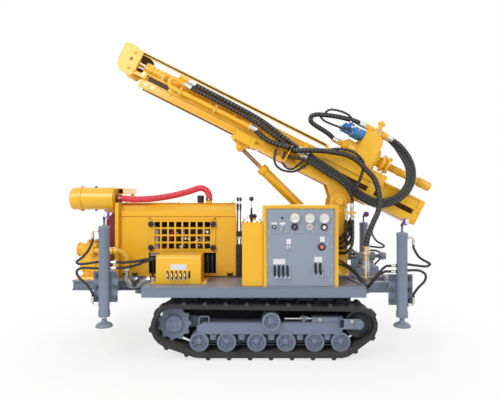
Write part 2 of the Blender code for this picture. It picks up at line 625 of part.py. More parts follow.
# pump on the frame's end, and its outlet pipe
pump = [box((-2.06, -1.74), (-0.43, 0.43), (DECK_TOP, 0.80)),
        turned([(0, 0), (0, 0.13), (0.03, 0.15), (0.30, 0.15), (0.33, 0.13), (0.33, 0)], (-1.91, -0.34, 0.94), (0, 1, 0), 18),
        rod((-2.12, -0.20, 1.08), (-1.85, -0.20, 1.08), 0.075, 14),
        box((-1.95, -1.87), (-0.355, -0.25), (1.00, 1.16)),
        rod((-1.91, -0.05, 1.00), (-1.91, -0.05, 1.14), 0.070, 12),
        rod((-1.91, -0.02, 0.94), (-1.91, 0.26, 0.94), 0.08, 14)]
pipe_y = -0.405
outlet = [(-1.90, pipe_y, 1.09), (-1.62, pipe_y, 1.09)] + [(x, pipe_y, z) for x, z in arc(-1.62, 0.98, 0.11, 90, 0, 6)[1:]] + [(-1.51, pipe_y, DECK_TOP)]
pump += [swept(outlet, 0.027, 12), rod((-1.66, pipe_y, 1.09), (-1.62, pipe_y, 1.09), 0.034, 12),
          box((-1.93, -1.88), (pipe_y - 0.035, -0.33), (1.05, 1.13))]
piece("pump", YELLOW, pump)

# levers for the jacks, in a low box in front of the housing
jc = [prism([(-0.64, DECK_TOP), (-0.30, DECK_TOP), (-0.30, 1.07), (-0.58, 1.07), (-0.64, 1.01)], "x", (-1.143, -0.663))]
for k in range(5):
    x = -1.075 + k * 0.055
    jc.append(rod((x, -0.63, 0.97), (x, -0.685, 0.93), 0.006, 6))
    jc.append(turned([(0, 0), (0, 0.010), (0.07, 0.013), (0.07, 0)], (x, -0.685, 0.935), (0, -0.15, -1), 8))
piece("jack_control_box", YELLOW, jc)

# box with a hand lever, and the two travel levers behind it
tank = [box(TANK_X, TANK_Y, (DECK_TOP, TANK_Z)),
        rod((-0.123, -0.55, TANK_Z - 0.01), (-0.123, -0.55, 1.575), 0.007, 8),
        turned([(0, 0), (0.006, 0.014), (0.021, 0.022), (0.036, 0.014), (0.043, 0)], (-0.123, -0.55, 1.553), (0, 0, 1), 12)]
piece("side_tank", YELLOW, tank)
levers = [box((-0.30, -0.23), (-0.26, -0.16), (DECK_TOP, 0.80))]
for x in (-0.281, -0.249):
    levers.append(rod((x, -0.20, 0.79), (x, -0.20, 1.54), 0.007, 8))
    levers.append(turned([(0, 0), (0, 0.010), (0.07, 0.014), (0.08, 0.008), (0.08, 0)], (x, -0.20, 1.53), (0, 0, 1), 10))
piece("travel_levers", DARK, levers)

# control panel
px, py = PANEL_X, PANEL_Y
frame_w = 0.037
piece("panel_box", YELLOW, [box(px, py, (DECK_TOP, PANEL_Z))],
      [box((px[0] + frame_w, px[1] - frame_w), (py[0] - 0.01, py[0] + 0.025), (DECK_TOP - 0.01, PANEL_Z - frame_w)),
       box((px[0] + 0.03, px[1] - 0.03), (py[0] + 0.045, py[1] + 0.02), (DECK_TOP + 0.02, PANEL_Z - 0.02))])
plate = [box((px[0] + frame_w + GAP, px[1] - frame_w - GAP), (py[0] + 0.010, py[0] + 0.025 - GAP), (DECK_TOP, PANEL_Z - frame_w - GAP))]


def on_panel(column, row):
    """A place on the panel from its column and row in the photograph's grid of dials."""
    depth = 5.5 + py[0]
    return -0.139 + (column - 250) * depth / 456, 1.746 - (row - 192) * depth / 456


face = py[0] + 0.012
for column, row, r, stand in ((295, 218, 0.053, 0.020), (309.8, 218, 0.053, 0.020), (324.5, 218, 0.053, 0.020),
                              (294.7, 226.8, 0.034, 0.018), (309.5, 226.8, 0.034, 0.018), (324.3, 227.3, 0.034, 0.018),
                              (288.4, 247.5, 0.022, 0.030), (321.6, 246.7, 0.040, 0.022)):
    x, z = on_panel(column, row)
    plate.append(rod((x, face, z), (x, face - stand, z), r, 14))
for column, low, high in ((274.7, 265.5, 276), (279, 265.5, 276), (283.2, 265.5, 276), (287.4, 265.5, 276),
                          (315.4, 263, 274), (320.3, 263, 274)):
    x, z0 = on_panel(column, low)
    z1 = on_panel(column, high)[1]
    plate.append(rod((x, face + 0.003, z0 - 0.02), (x, face - 0.045, z1 + 0.02), 0.010, 8))
piece("panel_plate", PLATE, plate)

# oil tank on the far side
oil = [prism([(0.42, DECK_TOP), (0.78, DECK_TOP), (0.78, 1.30), (0.74, 1.36), (0.42, 1.36)], "x", (-0.25, 0.60)),
       rod((-0.10, 0.58, 1.35), (-0.10, 0.58, 1.42), 0.045, 16), rod((0.40, 0.58, 1.35), (0.40, 0.58, 1.40), 0.06, 16)]
piece("oil_tank", YELLOW, oil)

# turret: a round foot, two cheek plates with the pins, and the web between them
cheek = [(0.60, 0.80), (0.995, 0.80), (0.995, 1.58)] + arc(PIVOT[0], PIVOT[1], 0.095, -10, 190, 10) + [(0.66, 1.40), (0.62, 1.30)]
turret = [turned([(0, 0), (0, 0.25), (0.02, 0.25), (0.10, 0.215), (0.14, 0.19), (0.14, 0)], (0.80, 0, DECK_TOP), (0, 0, 1), 24)]
for s in (-1, 1):
    turret.append(prism(cheek, "y", sorted((s * 0.172, s * 0.196))))
    turret.append(rod((LIFT_BASE[0], s * 0.072, LIFT_BASE[1]), (LIFT_BASE[0], s * 0.205, LIFT_BASE[1]), 0.030, 14))
turret.append(box((0.972, 0.992), (-0.18, 0.18), (0.85, 1.375)))
turret.append(box((0.607, 0.622), (-0.18, 0.18), (0.84, 1.12)))
BULKHEAD = [(x, -0.255) for x in (0.962, 1.035)]
turret.append(box((0.93, 1.068), (-0.295, -0.19), (1.500, 1.515)))
for x, y in BULKHEAD:
    turret.append(rod((x, y, 1.45), (x, y, 1.57), 0.018, 8))
cuts = [rod((PIVOT[0], -0.3, PIVOT[1]), (PIVOT[0], 0.3, PIVOT[1]), 0.0308, 20)]
turret.append(rod((LIFT_BASE[0], -0.09, LIFT_BASE[1]), (LIFT_BASE[0], 0.09, LIFT_BASE[1]), 0.024, 20))
piece("turret", YELLOW, turret, cuts)

# cradle that tilts with the mast
beam_v = (0.118, RAIL_V[0] - GAP)
cradle = []
for s in (-1, 1):
    cradle.append(m_box((-0.35, 1.45), sorted((s * 0.070, s * 0.165)), beam_v))
    for u in ((-0.30, 0.30), (1.18, 1.44)):
        cradle.append(m_box(u, sorted((s * 0.156, s * 0.166)), (0.119, 0.215)))
    ear = [(-0.22, 0.135), (-0.07, -0.02)] + arc(0, 0, 0.070, 200, 340, 8) + [(0.07, -0.02), (0.22, 0.135)]
    cradle.append(m_prism(ear, sorted((s * 0.105, s * 0.150))))
    lug = [(EYE[0] - 0.09, 0.130), (EYE[0] - 0.05, EYE[1])] + arc(EYE[0], EYE[1], 0.05, 190, 350, 8) + [(EYE[0] + 0.05, EYE[1]), (EYE[0] + 0.09, 0.130)]
    cradle.append(m_prism(lug, sorted((s * 0.050, s * 0.075))))
    cradle.append(m_rod((EYE[0], s * 0.07, EYE[1]), (EYE[0], s * 0.092, EYE[1]), 0.024, 12))
cradle.append(m_rod((0, -0.22, 0), (0, 0.22, 0), 0.030, 20))
for u in ((-0.34, -0.30), (0.07, 0.13), (0.60, 0.65), (1.10, 1.14)):
    cradle.append(m_box(u, (-0.10, 0.10), (0.120, 0.140)))
cradle.append(m_box((0.08, 0.12), (-0.025, 0.025), (0.130, 0.305)))
cradle.append(m_rod((0.10, 0, 0.280), (-0.77, 0, 0.280), 0.012, 12))
STRAP_U = (0.774, 0.786)
cradle += [m_box(STRAP_U, (-0.306, -0.160), (0.122, 0.245)), m_box((STRAP_U[0] + 0.001, STRAP_U[1] - 0.001), (-0.305, -0.245), (0.235, 0.325))]
piece("cradle", YELLOW, cradle, origin=PIVOT_POINT, matrix=MAST)

# mast: two rails joined across, with its crown, cylinders, chain and pipe
v0, v1 = RAIL_V
WINDOWS = ((-0.84, -0.50), (-0.42, -0.33), (-0.24, 0.12), (2.37, 2.50), (2.56, 2.66))
PANELS = ((-0.86, -0.68), (-0.65, -0.40), (-0.37, -0.12), (-0.09, 0.22), (0.25, 0.60))
mast, cuts = [], []
for s in (-1, 1):
    mast.append(m_box((FOOT_U, 2.72), sorted((s * RAIL_Y[0], s * RAIL_Y[1])), RAIL_V))
    for u in WINDOWS:
        cuts.append(m_box(u, sorted((s * 0.05, s * 0.20)), (0.250, 0.315)))
    for u in PANELS:
        cuts.append(m_box(u, sorted((s * 0.138, s * 0.20)), (0.335, 0.432)))
    cuts.append(m_box((0.66, 2.34), sorted((s * 0.143, s * 0.20)), (0.200, 0.432)))
    cuts.append(m_box((2.52, 2.75), sorted((s * 0.05, s * 0.20)), (0.335, 0.46)))
mast.append(m_box((FOOT_U, FOOT_U + 0.02), (-0.152, 0.152), (v0 - 0.004, v1 - 0.014)))
for u in (0.85, 1.60, 2.30, 2.68):
    mast.append(m_box((u, u + 0.04), (-0.10, 0.10), (0.262, 0.300)))
mast.append(m_box((0.0, 0.04), (-0.10, 0.10), (0.33, 0.45)))
CLAMP_U = (0.618, 0.645)
mast.append(m_box(CLAMP_U, (-0.242, -0.140), (0.258, 0.372)))
piece("mast_beam", YELLOW, mast, cuts, origin=PIVOT_POINT, matrix=MAST)

crown, cuts = [], []
corner = 0.05
side_plate = ([(2.872, 0.30)] + arc(2.912, 0.30, 0.04, 180, 270, 3)[1:] + arc(3.05, 0.31, 0.05, 270, 360, 3)
              + arc(3.04, 0.54, 0.06, 0, 90, 4) + [(2.93, 0.60), (2.872, 0.57)])
for s in (-1, 1):
    crown.append(m_prism(side_plate, sorted((s * 0.152, s * 0.166))))
    crown.append(m_box((2.72 + GAP, 2.95), sorted((s * 0.100, s * 0.155)), (0.264, 0.30)))
crown.append(m_box((3.06, 3.08), (-0.16, 0.16), (0.30, 0.58)))
crown.append(m_box((2.895, 3.07), (-0.16, 0.16), (0.268, 0.285)))
crown.append(m_box((2.88, 2.90), (-0.159, 0.159), (0.266, 0.47)))
crown.append(m_rod((2.985, -0.16, 0.475), (2.985, 0.16, 0.475), 0.022, 12))
crown.append(m_rod((2.985, -0.055, 0.475), (2.985, 0.055, 0.475), 0.066, 18))
piece("crown", YELLOW, crown, cuts, origin=PIVOT_POINT, matrix=MAST)

feed = [m_rod((0.04 + GAP, 0, FEED_V), (2.74, 0, FEED_V), FEED_R, 20), m_rod((2.66, 0, FEED_V), (2.76, 0, FEED_V), 0.072, 20),
        m_rod((2.70, 0, FEED_V), (2.88 - GAP, 0, FEED_V), 0.034, 16)]
piece("feed_cylinder", YELLOW, feed, origin=PIVOT_POINT, matrix=MAST)
piece("slide_cylinder", DARK, [m_rod((FOOT_U + 0.02 + GAP, 0, 0.28), (-0.10, 0, 0.28), 0.032, 16)],
      [m_rod((-0.79, 0, 0.28), (0.0, 0, 0.28), 0.0125, 12)], origin=PIVOT_POINT, matrix=MAST)

chain = [m_box((0.41 + GAP, 2.985), sorted((s * 0.018, s * 0.032)), (0.5415, 0.556)) for s in (-1, 1)]
chain += [m_box((u, u + 0.02), (-0.025, 0.025), (0.545, 0.553)) for u in [0.45 + 0.28 * k for k in range(10)]]
piece("feed_chain", DARK, chain, origin=PIVOT_POINT, matrix=MAST)

PIPE_Y, PIPE_V, PIPE_R = -0.206, 0.310, 0.026
run = [(1.41, PIPE_V), (2.33, PIPE_V)]
run += [(2.33 + 0.055 * sin(radians(a)), PIPE_V + 0.055 - 0.055 * cos(radians(a))) for a in range(30, 181, 30)] + [(2.31, PIPE_V + 0.110)]
pipe = [swept([(-u, PIPE_Y, v) for u, v in run], PIPE_R, 12)]
pipe += [m_box((u, u + 0.012), (-0.240, -0.143 - GAP), (0.276, 0.352)) for u in (1.75, 2.20)]
pipe.append(m_rod((1.30, PIPE_Y, PIPE_V), (1.43, PIPE_Y, PIPE_V), 0.031, 10))
pipe.append(m_rod((2.335, PIPE_Y - 0.006, PIPE_V + 0.110), (2.19, PIPE_Y - 0.006, PIPE_V + 0.099), 0.029, 10))
pipe.append(m_rod((2.300, PIPE_Y - 0.006, 0.468), (2.16, PIPE_Y - 0.006, 0.462), 0.026, 10))
pipe.append(m_box((2.23, 2.27), (-0.222, -0.196), (0.42, 0.47)))
piece("mast_pipe", YELLOW, pipe, origin=PIVOT_POINT, matrix=MAST)

# lift cylinder between the turret and the cradle
eye_world = MAST @ Vector((-EYE[0], 0, EYE[1]))
base_world = Vector((LIFT_BASE[0], 0, LIFT_BASE[1]))
lift_dir = (eye_world - base_world).normalized()
lift_len = (eye_world - base_world).length
BORE = 0.040
barrel = [turned([(0, 0), (0, 0.058), (0.93, 0.058), (0.93, 0.068), (1.00, 0.068), (1.00, 0)], base_world + lift_dir * 0.02, lift_dir, 24),
          rod(base_world - Vector((0, 0.046, 0)), base_world + Vector((0, 0.046, 0)), 0.058, 20)]
cuts = [rod(base_world + lift_dir * 0.10, base_world + lift_dir * 1.2, 0.0280, 18),
        rod(base_world - Vector((0, 0.2, 0)), base_world + Vector((0, 0.2, 0)), 0.0247, 20)]
piece("lift_barrel", YELLOW, barrel, cuts, origin=base_world)
lift_rod = [rod(base_world + lift_dir * 0.26, eye_world - lift_dir * 0.02, 0.0275, 18),
            rod(eye_world - Vector((0, 0.036, 0)), eye_world + Vector((0, 0.036, 0)), 0.040, 18)]
piece("lift_rod", STEEL, lift_rod, origin=eye_world)

# rotary head on its carriage
cv0, cv1 = CARRIAGE_V
carriage = [m_box((-0.39, 0.41), (-0.172, 0.172), CARRIAGE_V), m_box((0.38, 0.41), (-0.05, 0.05), (cv1 - 0.010, cv1 + 0.056))]
carriage += [m_box(u, sorted((s * 0.100, s * 0.145)), (RAIL_V[1] + GAP, cv0 + 0.002))
             for u in ((-0.38, -0.28), (0.28, 0.38)) for s in (-1, 1)]
for s in (-1, 1):
    carriage.append(m_box((-0.38, 0.40), sorted((s * 0.156, s * 0.172)), (RAIL_V[1] - 0.070, cv0 + 0.012)))
piece("carriage", YELLOW, carriage, origin=PIVOT_POINT, matrix=MAST)

TEE_Y = (-0.06, 0.035)
hv = HEAD_V
case = ([(-0.175, cv1 + GAP), (0.066, cv1 + GAP), (0.066, hv + 0.265), (-0.06, hv + 0.265)]
        + arc(-0.06, hv + 0.150, 0.115, 90, 180, 5)[1:])
TEE_V = hv + 0.300
gear = [m_prism(case, (-0.135, 0.135)), m_rod((-0.17, 0, hv), (-0.20, 0, hv), HEAD_UP * 0.8, 24),
        m_rod((0.06, 0, hv), (0.19, 0, hv), 0.085, 20), m_rod((0.18, 0, hv), (0.25, 0, hv), 0.05, 16),
        m_rod((0.24, 0, hv), (0.30, 0, hv), 0.034, 12),
        m_box((-0.10, -0.03), (-0.10, 0.10), (hv + 0.245, hv + 0.345)),
        m_rod((-0.065, -0.06, hv + 0.315), (-0.065, -0.06, hv + 0.395), 0.028, 12),
        m_rod((0.10, TEE_Y[0], TEE_V), (-0.19, TEE_Y[0], TEE_V), 0.034, 12),
        m_rod((-0.05, TEE_Y[1], TEE_V), (-0.19, TEE_Y[1], TEE_V), 0.034, 12)]
cuts = [m_rod((-0.10, 0, hv), (-0.3, 0, hv), 0.0662, 20)]
piece("head_gearbox", YELLOW, gear, cuts, origin=PIVOT_POINT, matrix=MAST)
motors = []
mv = hv + 0.185
for s in (-1, 1):
    motors += [m_rod((0.066 + GAP, s * 0.073, mv), (0.20, s * 0.073, mv), 0.058, 14),
               m_rod((0.19, s * 0.073, mv), (0.33, s * 0.073, mv), 0.045, 14),
               m_box((0.22, 0.29), sorted((s * 0.045, s * 0.10)), (mv + 0.020, mv + 0.065))]
motors.append(m_box((0.235, 0.275), (-0.06, 0.06), (mv + 0.028, mv + 0.058)))
piece("head_motors", BLUE, motors, origin=PIVOT_POINT, matrix=MAST)
f1, f2 = HEAD_UP * 0.68, HEAD_UP * 0.72
profile = [(0, 0.0653), (0.16, 0.0653), (0.16, f1), (0.185, f1), (0.185, 0.075), (0.225, 0.075), (0.225, f2),
           (0.25, f2), (0.25, 0.045), (0.66, 0.045), (0.66, 0.053), (0.82, 0.053)]
spindle = turned(profile, (0.11, 0, HEAD_V), (1, 0, 0), 20)
piece("drill_spindle", YELLOW, [spindle], origin=MAST @ Vector((0, 0, HEAD_V)), matrix=MAST)

# breakout cylinder beside the mast's foot
bz, by = 0.93, 0.33
piece("breakout_barrel", GREY, [turned([(0, 0), (0, 0.048), (0.30, 0.048), (0.30, 0.053), (0.34, 0.053), (0.34, 0)], (1.11, by, bz), (1, 0, 0), 20),
                                box((1.15, 1.23), (by - 0.04, by + 0.01), (0.7803, bz)), box((1.12, 1.18), (by - 0.03, by + 0.03), (bz, bz + 0.09))],
      [rod((1.16, by, bz), (1.6, by, bz), 0.0245, 16)])
piece("breakout_rod", GREY, [rod((1.18, by, bz), (1.57, by, bz), 0.024, 16), turned([(0, 0), (0, 0.030), (0.02, 0.045), (0.09, 0.045), (0.09, 0)], (1.50, by, bz), (1, 0, 0), 16)])

# air valve on the frame's arm
piece("air_valve", BRASS, [turned([(0, 0), (0, 0.030), (0.06, 0.030), (0.06, 0.042), (0.17, 0.045), (0.20, 0.045), (0.20, 0.030),
                                   (0.27, 0.030), (0.27, 0.036), (0.33, 0.036), (0.33, 0)], (1.12, -0.56, 0.775 + GAP), (0, 0, 1), 16)])

# hoses: u, y and v up the mast's own frame for the first group
HOSE_D, AIR_D, SMALL_D = 0.050, 0.060, 0.036


def on_mast(points):
    return [tuple(MAST @ Vector((-u, y, v))) for u, y, v in points]


hy_ = PIPE_Y - 0.006
pair_a = [(2.19 - GAP, hy_, 0.409), (2.14, hy_, 0.4055), (1.90, hy_, 0.405), (1.55, hy_, 0.400), (1.25, hy_, 0.385), (1.02, hy_, 0.345),
          (0.88, hy_, 0.315), (0.75, hy_, 0.292), (0.69, hy_, 0.288), (CLAMP_U[1] + GAP, hy_, 0.288)]
pair_b = [(2.16 - GAP, hy_, 0.462), (2.11, hy_, 0.460), (1.90, hy_, 0.458), (1.55, hy_, 0.453), (1.25, hy_, 0.439), (1.02, hy_, 0.400),
          (0.88, hy_, 0.370), (0.75, hy_, 0.347), (0.69, hy_, 0.342), (CLAMP_U[1] + GAP, hy_, 0.342)]
hose("hose_mast_a", RUBBER, on_mast(pair_a), HOSE_D, 17)
hose("hose_mast_b", RUBBER, on_mast(pair_b), HOSE_D, 17)

loop_a = on_mast([(CLAMP_U[0] - GAP, hy_, 0.288), (0.57, hy_, 0.288), (0.45, -0.216, 0.260), (0.136, -0.222, 0.222), (-0.149, -0.228, 0.148),
                  (-0.30, -0.232, 0.140)])
loop_a += [(1.330, -0.234, 1.588), (1.433, -0.236, 1.591), (1.560, -0.240, 1.642), (1.670, -0.240, 1.729), (1.736, -0.230, 1.838), (1.764, -0.205, 1.966),
           (1.756, -0.165, 2.085), (1.713, -0.120, 2.200), (1.640, -0.080, 2.305)]
loop_a += on_mast([(-0.25, TEE_Y[0], TEE_V), (-0.19 - GAP, TEE_Y[0], TEE_V)])
loop_b = on_mast([(CLAMP_U[0] - GAP, hy_, 0.342), (0.57, hy_, 0.342), (0.45, -0.216, 0.317), (0.136, -0.222, 0.279), (-0.149, -0.228, 0.206),
                  (-0.30, -0.232, 0.197)])
loop_b += [(1.345, -0.236, 1.648), (1.440, -0.240, 1.650), (1.535, -0.245, 1.692), (1.618, -0.245, 1.762), (1.672, -0.235, 1.850), (1.696, -0.210, 1.966),
           (1.684, -0.165, 2.075), (1.648, -0.100, 2.180), (1.605, -0.020, 2.290)]
loop_b += on_mast([(-0.245, TEE_Y[1], TEE_V), (-0.19 - GAP, TEE_Y[1], TEE_V)])
hose("hose_loop_a", RUBBER, loop_a, HOSE_D, 30)
hose("hose_loop_b", RUBBER, loop_b, HOSE_D, 28)

STRAP_Y = -0.274
air_mast = on_mast([(1.30 - GAP, PIPE_Y, PIPE_V), (1.25, PIPE_Y, PIPE_V), (1.17, -0.218, 0.280), (1.06, -0.242, 0.257), (0.95, -0.264, 0.262),
                    (0.87, -0.272, 0.277), (0.83, STRAP_Y, 0.284), (STRAP_U[1] + GAP, STRAP_Y, 0.284)])
air_deck = on_mast([(STRAP_U[0] - GAP, STRAP_Y, 0.284), (0.735, STRAP_Y, 0.284), (0.617, -0.288, 0.346), (0.4585, -0.302, 0.419), (0.348, -0.308, 0.458),
                    (0.188, -0.318, 0.502), (0.0487, -0.330, 0.499)])
air_deck += [(1.174, -0.350, 1.997), (1.256, -0.370, 1.899), (1.291, -0.395, 1.793), (1.302, -0.430, 1.653), (1.272, -0.475, 1.530), (1.195, -0.525, 1.390),
             (1.140, -0.552, 1.260), (1.120, -0.560, 1.160), (1.120, -0.560, 1.1053 + GAP)]
hose("hose_air_mast", RUBBER, air_mast, AIR_D, 11)
hose("hose_air_deck", RUBBER, air_deck, AIR_D, 24)

bundle = on_mast([(STRAP_U[0] - GAP, STRAP_Y, 0.200), (0.72, STRAP_Y, 0.200)])
bundle += [(0.455, -0.276, 2.125), (0.593, -0.278, 2.050), (0.738, -0.278, 1.955), (0.862, -0.276, 1.884), (0.950, -0.272, 1.815), (1.006, -0.264, 1.745),
           (1.032, -0.257, 1.675), (BULKHEAD[1][0], BULKHEAD[1][1], 1.620), (BULKHEAD[1][0], BULKHEAD[1][1], 1.570 + GAP)]
hose("hose_bundle", RUBBER, bundle, SMALL_D, 22)

head_loop = on_mast([(u, y, hv + v) for u, y, v in (
    (0.30 + GAP, 0, 0), (0.35, 0, 0), (0.43, -0.002, 0.027), (0.5226, -0.006, 0.040), (0.6305, -0.012, 0.048),
    (0.702, -0.020, 0.0675), (0.722, -0.030, 0.120), (0.675, -0.038, 0.167), (0.573, -0.046, 0.209),
    (0.455, -0.052, 0.248), (0.331, -0.058, 0.279), (0.225, TEE_Y[0], 0.298), (0.15, TEE_Y[0], 0.300),
    (0.10 + GAP, TEE_Y[0], 0.300))])
hose("hose_head", RUBBER, head_loop, 0.058, 24)

# the drawing counts X from the tracks' middle; the part's origin is on the ground under the middle of its length
rigid = [obj for obj in bpy.data.objects if obj.type == "MESH"]
reach = [(obj.matrix_basis @ v.co).x for obj in rigid for v in obj.data.vertices]
base = bpy.data.objects.new("rig", None)
bpy.context.scene.collection.objects.link(base)
base.location.x = -(min(reach) + max(reach)) / 2
for obj in list(bpy.data.objects):
    if obj is not base:
        obj.parent = base
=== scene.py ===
"""Dresses the small tracked water well drilling rig: finishes, hoses, fittings, controls and bolts.

Lengths are metres. X is counted from the tracks' middle and moved by SHIFT when a piece is seated.
Mast pieces are drawn in the mast's own frame, (-u, y, v), and turned into place.
"""
import json
from math import cos, sin, pi, radians

import bmesh
import bpy
from bpy.props import FloatProperty, FloatVectorProperty, PointerProperty
from mathutils import Matrix, Vector


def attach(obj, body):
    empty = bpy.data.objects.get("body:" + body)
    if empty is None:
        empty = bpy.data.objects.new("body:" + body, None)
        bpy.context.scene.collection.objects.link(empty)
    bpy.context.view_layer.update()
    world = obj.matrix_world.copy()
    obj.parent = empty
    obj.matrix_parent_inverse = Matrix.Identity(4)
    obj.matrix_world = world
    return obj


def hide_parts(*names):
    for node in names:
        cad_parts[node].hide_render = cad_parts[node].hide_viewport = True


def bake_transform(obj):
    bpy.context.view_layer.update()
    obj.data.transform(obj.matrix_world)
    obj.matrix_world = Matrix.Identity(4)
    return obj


bl_info = {
    "name": "Water well drilling rig dressing",
    "version": (1, 0, 0),
    "blender": (4, 5, 0),
    "location": "View3D > Sidebar > Rig",
    "description": "Finishes, hoses, controls and small parts of a tracked drilling rig",
    "category": "Object",
}

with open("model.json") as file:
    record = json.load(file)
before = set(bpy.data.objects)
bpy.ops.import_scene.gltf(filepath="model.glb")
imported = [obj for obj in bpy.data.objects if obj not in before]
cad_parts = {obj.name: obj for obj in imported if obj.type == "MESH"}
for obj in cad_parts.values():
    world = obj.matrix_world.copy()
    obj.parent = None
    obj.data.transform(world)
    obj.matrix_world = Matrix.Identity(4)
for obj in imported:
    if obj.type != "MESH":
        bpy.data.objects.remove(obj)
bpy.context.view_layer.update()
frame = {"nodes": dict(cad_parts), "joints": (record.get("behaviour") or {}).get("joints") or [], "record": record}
TILT = [j for j in frame["joints"] if j["name"] == "mast_tilt"][0]
PIVOT = (0.896, 1.636)
SHIFT = TILT["pos_m"][0] - PIVOT[0]
REST_TILT = radians(26.7)
MAST = Matrix.Translation((PIVOT[0], 0, PIVOT[1])) @ Matrix.Rotation(REST_TILT, 4, "Y")
GAP = 0.0003
DECK_TOP = 0.7643
CAMERA = (-0.139, -5.5, 1.746)
VIEW, HORIZON, FOCAL = (500, 400), 192, 456  # pixels
SIDES = (("near", -1), ("far", 1))
RIGHT, FAR, UP = (1, 0, 0), (0, 1, 0), (0, 0, 1)  # as the camera sees them
LEFT, NEAR, DOWN = (-1, 0, 0), (0, -1, 0), (0, 0, -1)  # on the mast, LEFT is up its length


class RigSizes(bpy.types.PropertyGroup):
    bolt: FloatProperty(name="Bolt head", description="Width across a bolt's head", default=0.024,
        unit="LENGTH")
    guard_pitch: FloatProperty(name="Guard pitch", description="Pitch of the spiral guard round a hose",
        default=0.042, unit="LENGTH")
    floor: FloatProperty(name="Floor", description="Half width of the floor", default=14.0, unit="LENGTH")


class RigColours(bpy.types.PropertyGroup):
    yellow: FloatVectorProperty(name="Yellow", description="Gloss machine paint", subtype="COLOR",
        default=(0.9, 0.49, 0.01))
    grey: FloatVectorProperty(name="Grey-blue", description="Undercarriage and jack paint", subtype="COLOR",
        default=(0.185, 0.225, 0.315))
    plate: FloatVectorProperty(name="Panel grey", description="Face of the control panel", subtype="COLOR",
        default=(0.28, 0.33, 0.41))


def sizes():
    return bpy.context.scene.rig_sizes


# modelling
def alone(obj=None):
    bpy.ops.object.select_all(action="DESELECT")
    if obj:
        obj.select_set(True)
        bpy.context.view_layer.objects.active = obj


def apply_place(obj):
    alone(obj)
    bpy.ops.object.transform_apply(location=True, rotation=True, scale=True)
    return obj


def pick(obj, test, what="faces"):
    """Open the piece and select the faces or edges that pass the test."""
    alone(obj)
    bpy.ops.object.mode_set(mode="EDIT")
    bm = bmesh.from_edit_mesh(obj.data)
    bpy.ops.mesh.select_mode(type="FACE" if what == "faces" else "EDGE")
    bpy.ops.mesh.select_all(action="DESELECT")
    bm = bmesh.from_edit_mesh(obj.data)
    for part in getattr(bm, what):
        if test(part):
            part.select_set(True)
    bmesh.update_edit_mesh(obj.data)
    return bm


def close():
    bpy.ops.object.mode_set(mode="OBJECT")


def soften(obj, width, test=lambda e: len(e.link_faces) == 2 and e.calc_face_angle(0) > 0.6):
    pick(obj, test, "edges")
    bpy.ops.mesh.bevel(offset=width, segments=1, affect="EDGES")
    close()
    return obj


def block(x, y, z, mat="yellow", edge=0.002):
    alone()
    bpy.ops.mesh.primitive_cube_add(size=1, location=[(a + b) / 2 for a, b in (x, y, z)],
        scale=[abs(b - a) for a, b in (x, y, z)])
    obj = apply_place(bpy.context.object)
    if edge:
        soften(obj, edge)
    return paint(obj, mat)


def turned(profile, start, axis, mat="yellow", sides=20):
    """A round piece: a first drum from the profile's two first points, then steps of extrude and resize."""
    (a0, r0), (a1, r1) = profile[:2]
    alone()
    bpy.ops.mesh.primitive_cone_add(vertices=sides, radius1=r0, radius2=r1, depth=a1 - a0,
        location=(0, 0, (a0 + a1) / 2))
    obj = apply_place(bpy.context.object)
    if len(profile) > 2:
        pick(obj, lambda f: f.normal.z > 0.9 and len(f.verts) == sides)
        at, r = a1, r1
        for along, radius in profile[2:]:
            bpy.ops.mesh.extrude_region_move(TRANSFORM_OT_translate={"value": (0, 0, along - at)})
            bpy.ops.transform.resize(value=(radius / r, radius / r, 1), center_override=(0, 0, along))
            at, r = along, radius
        close()
    turn = Vector((0, 0, 1)).rotation_difference(Vector(axis).normalized()).to_matrix().to_4x4()
    obj.data.transform(Matrix.Translation(start) @ turn)
    return paint(obj, mat)


def drum(r, length, start, axis, mat="yellow", sides=20):
    profile = [(0, r), (length, r)]
    return turned(profile, start, axis, mat, sides)


def bar(start, end, r, mat="yellow", sides=12):
    way = Vector(end) - Vector(start)
    return drum(r, way.length, start, way, mat, sides)


def plate(outline, axis, span, mat="yellow", edge=0.002):
    """A flat outline, extruded square to its plane."""
    alone()
    bpy.ops.mesh.primitive_circle_add(vertices=len(outline), fill_type="NGON", radius=1)
    obj = bpy.context.object
    place = {"x": lambda a, b: (span[0], a, b), "y": lambda a, b: (a, span[0], b), "z": lambda a,
        b: (a, b, span[0])}[axis]
    for v, (a, b) in zip(obj.data.vertices, outline):
        v.co = place(a, b)
    pick(obj, lambda f: True)
    step = [0, 0, 0]
    step["xyz".index(axis)] = span[1] - span[0]
    bpy.ops.mesh.extrude_region_move(TRANSFORM_OT_translate={"value": step})
    bpy.ops.mesh.select_all(action="SELECT")
    bpy.ops.mesh.normals_make_consistent(inside=False)
    close()
    if edge:
        soften(obj, edge)
    return paint(obj, mat)


def pipe(points, r, mat="black_plastic", sides=3, smooth=4):
    """A bent rigid pipe through rounded corners."""
    curve = bpy.data.curves.new("pipe", "CURVE")
    curve.dimensions = "3D"
    curve.bevel_depth = r
    curve.bevel_resolution = sides
    curve.use_fill_caps = True
    spline = curve.splines.new("POLY")
    pts = smooth_route(points, smooth * len(points)) if smooth else [Vector(p) for p in points]
    spline.points.add(len(pts) - 1)
    for point, q in zip(spline.points, pts):
        point.co = (*q, 1)
    obj = bpy.data.objects.new("pipe", curve)
    bpy.context.scene.collection.objects.link(obj)
    alone(obj)
    bpy.ops.object.convert(target="MESH")
    return paint(bpy.context.object, mat)


def paint(obj, mat):
    if mat is not None:
        obj.data.materials.clear()
        obj.data.materials.append(look(mat))
    return obj


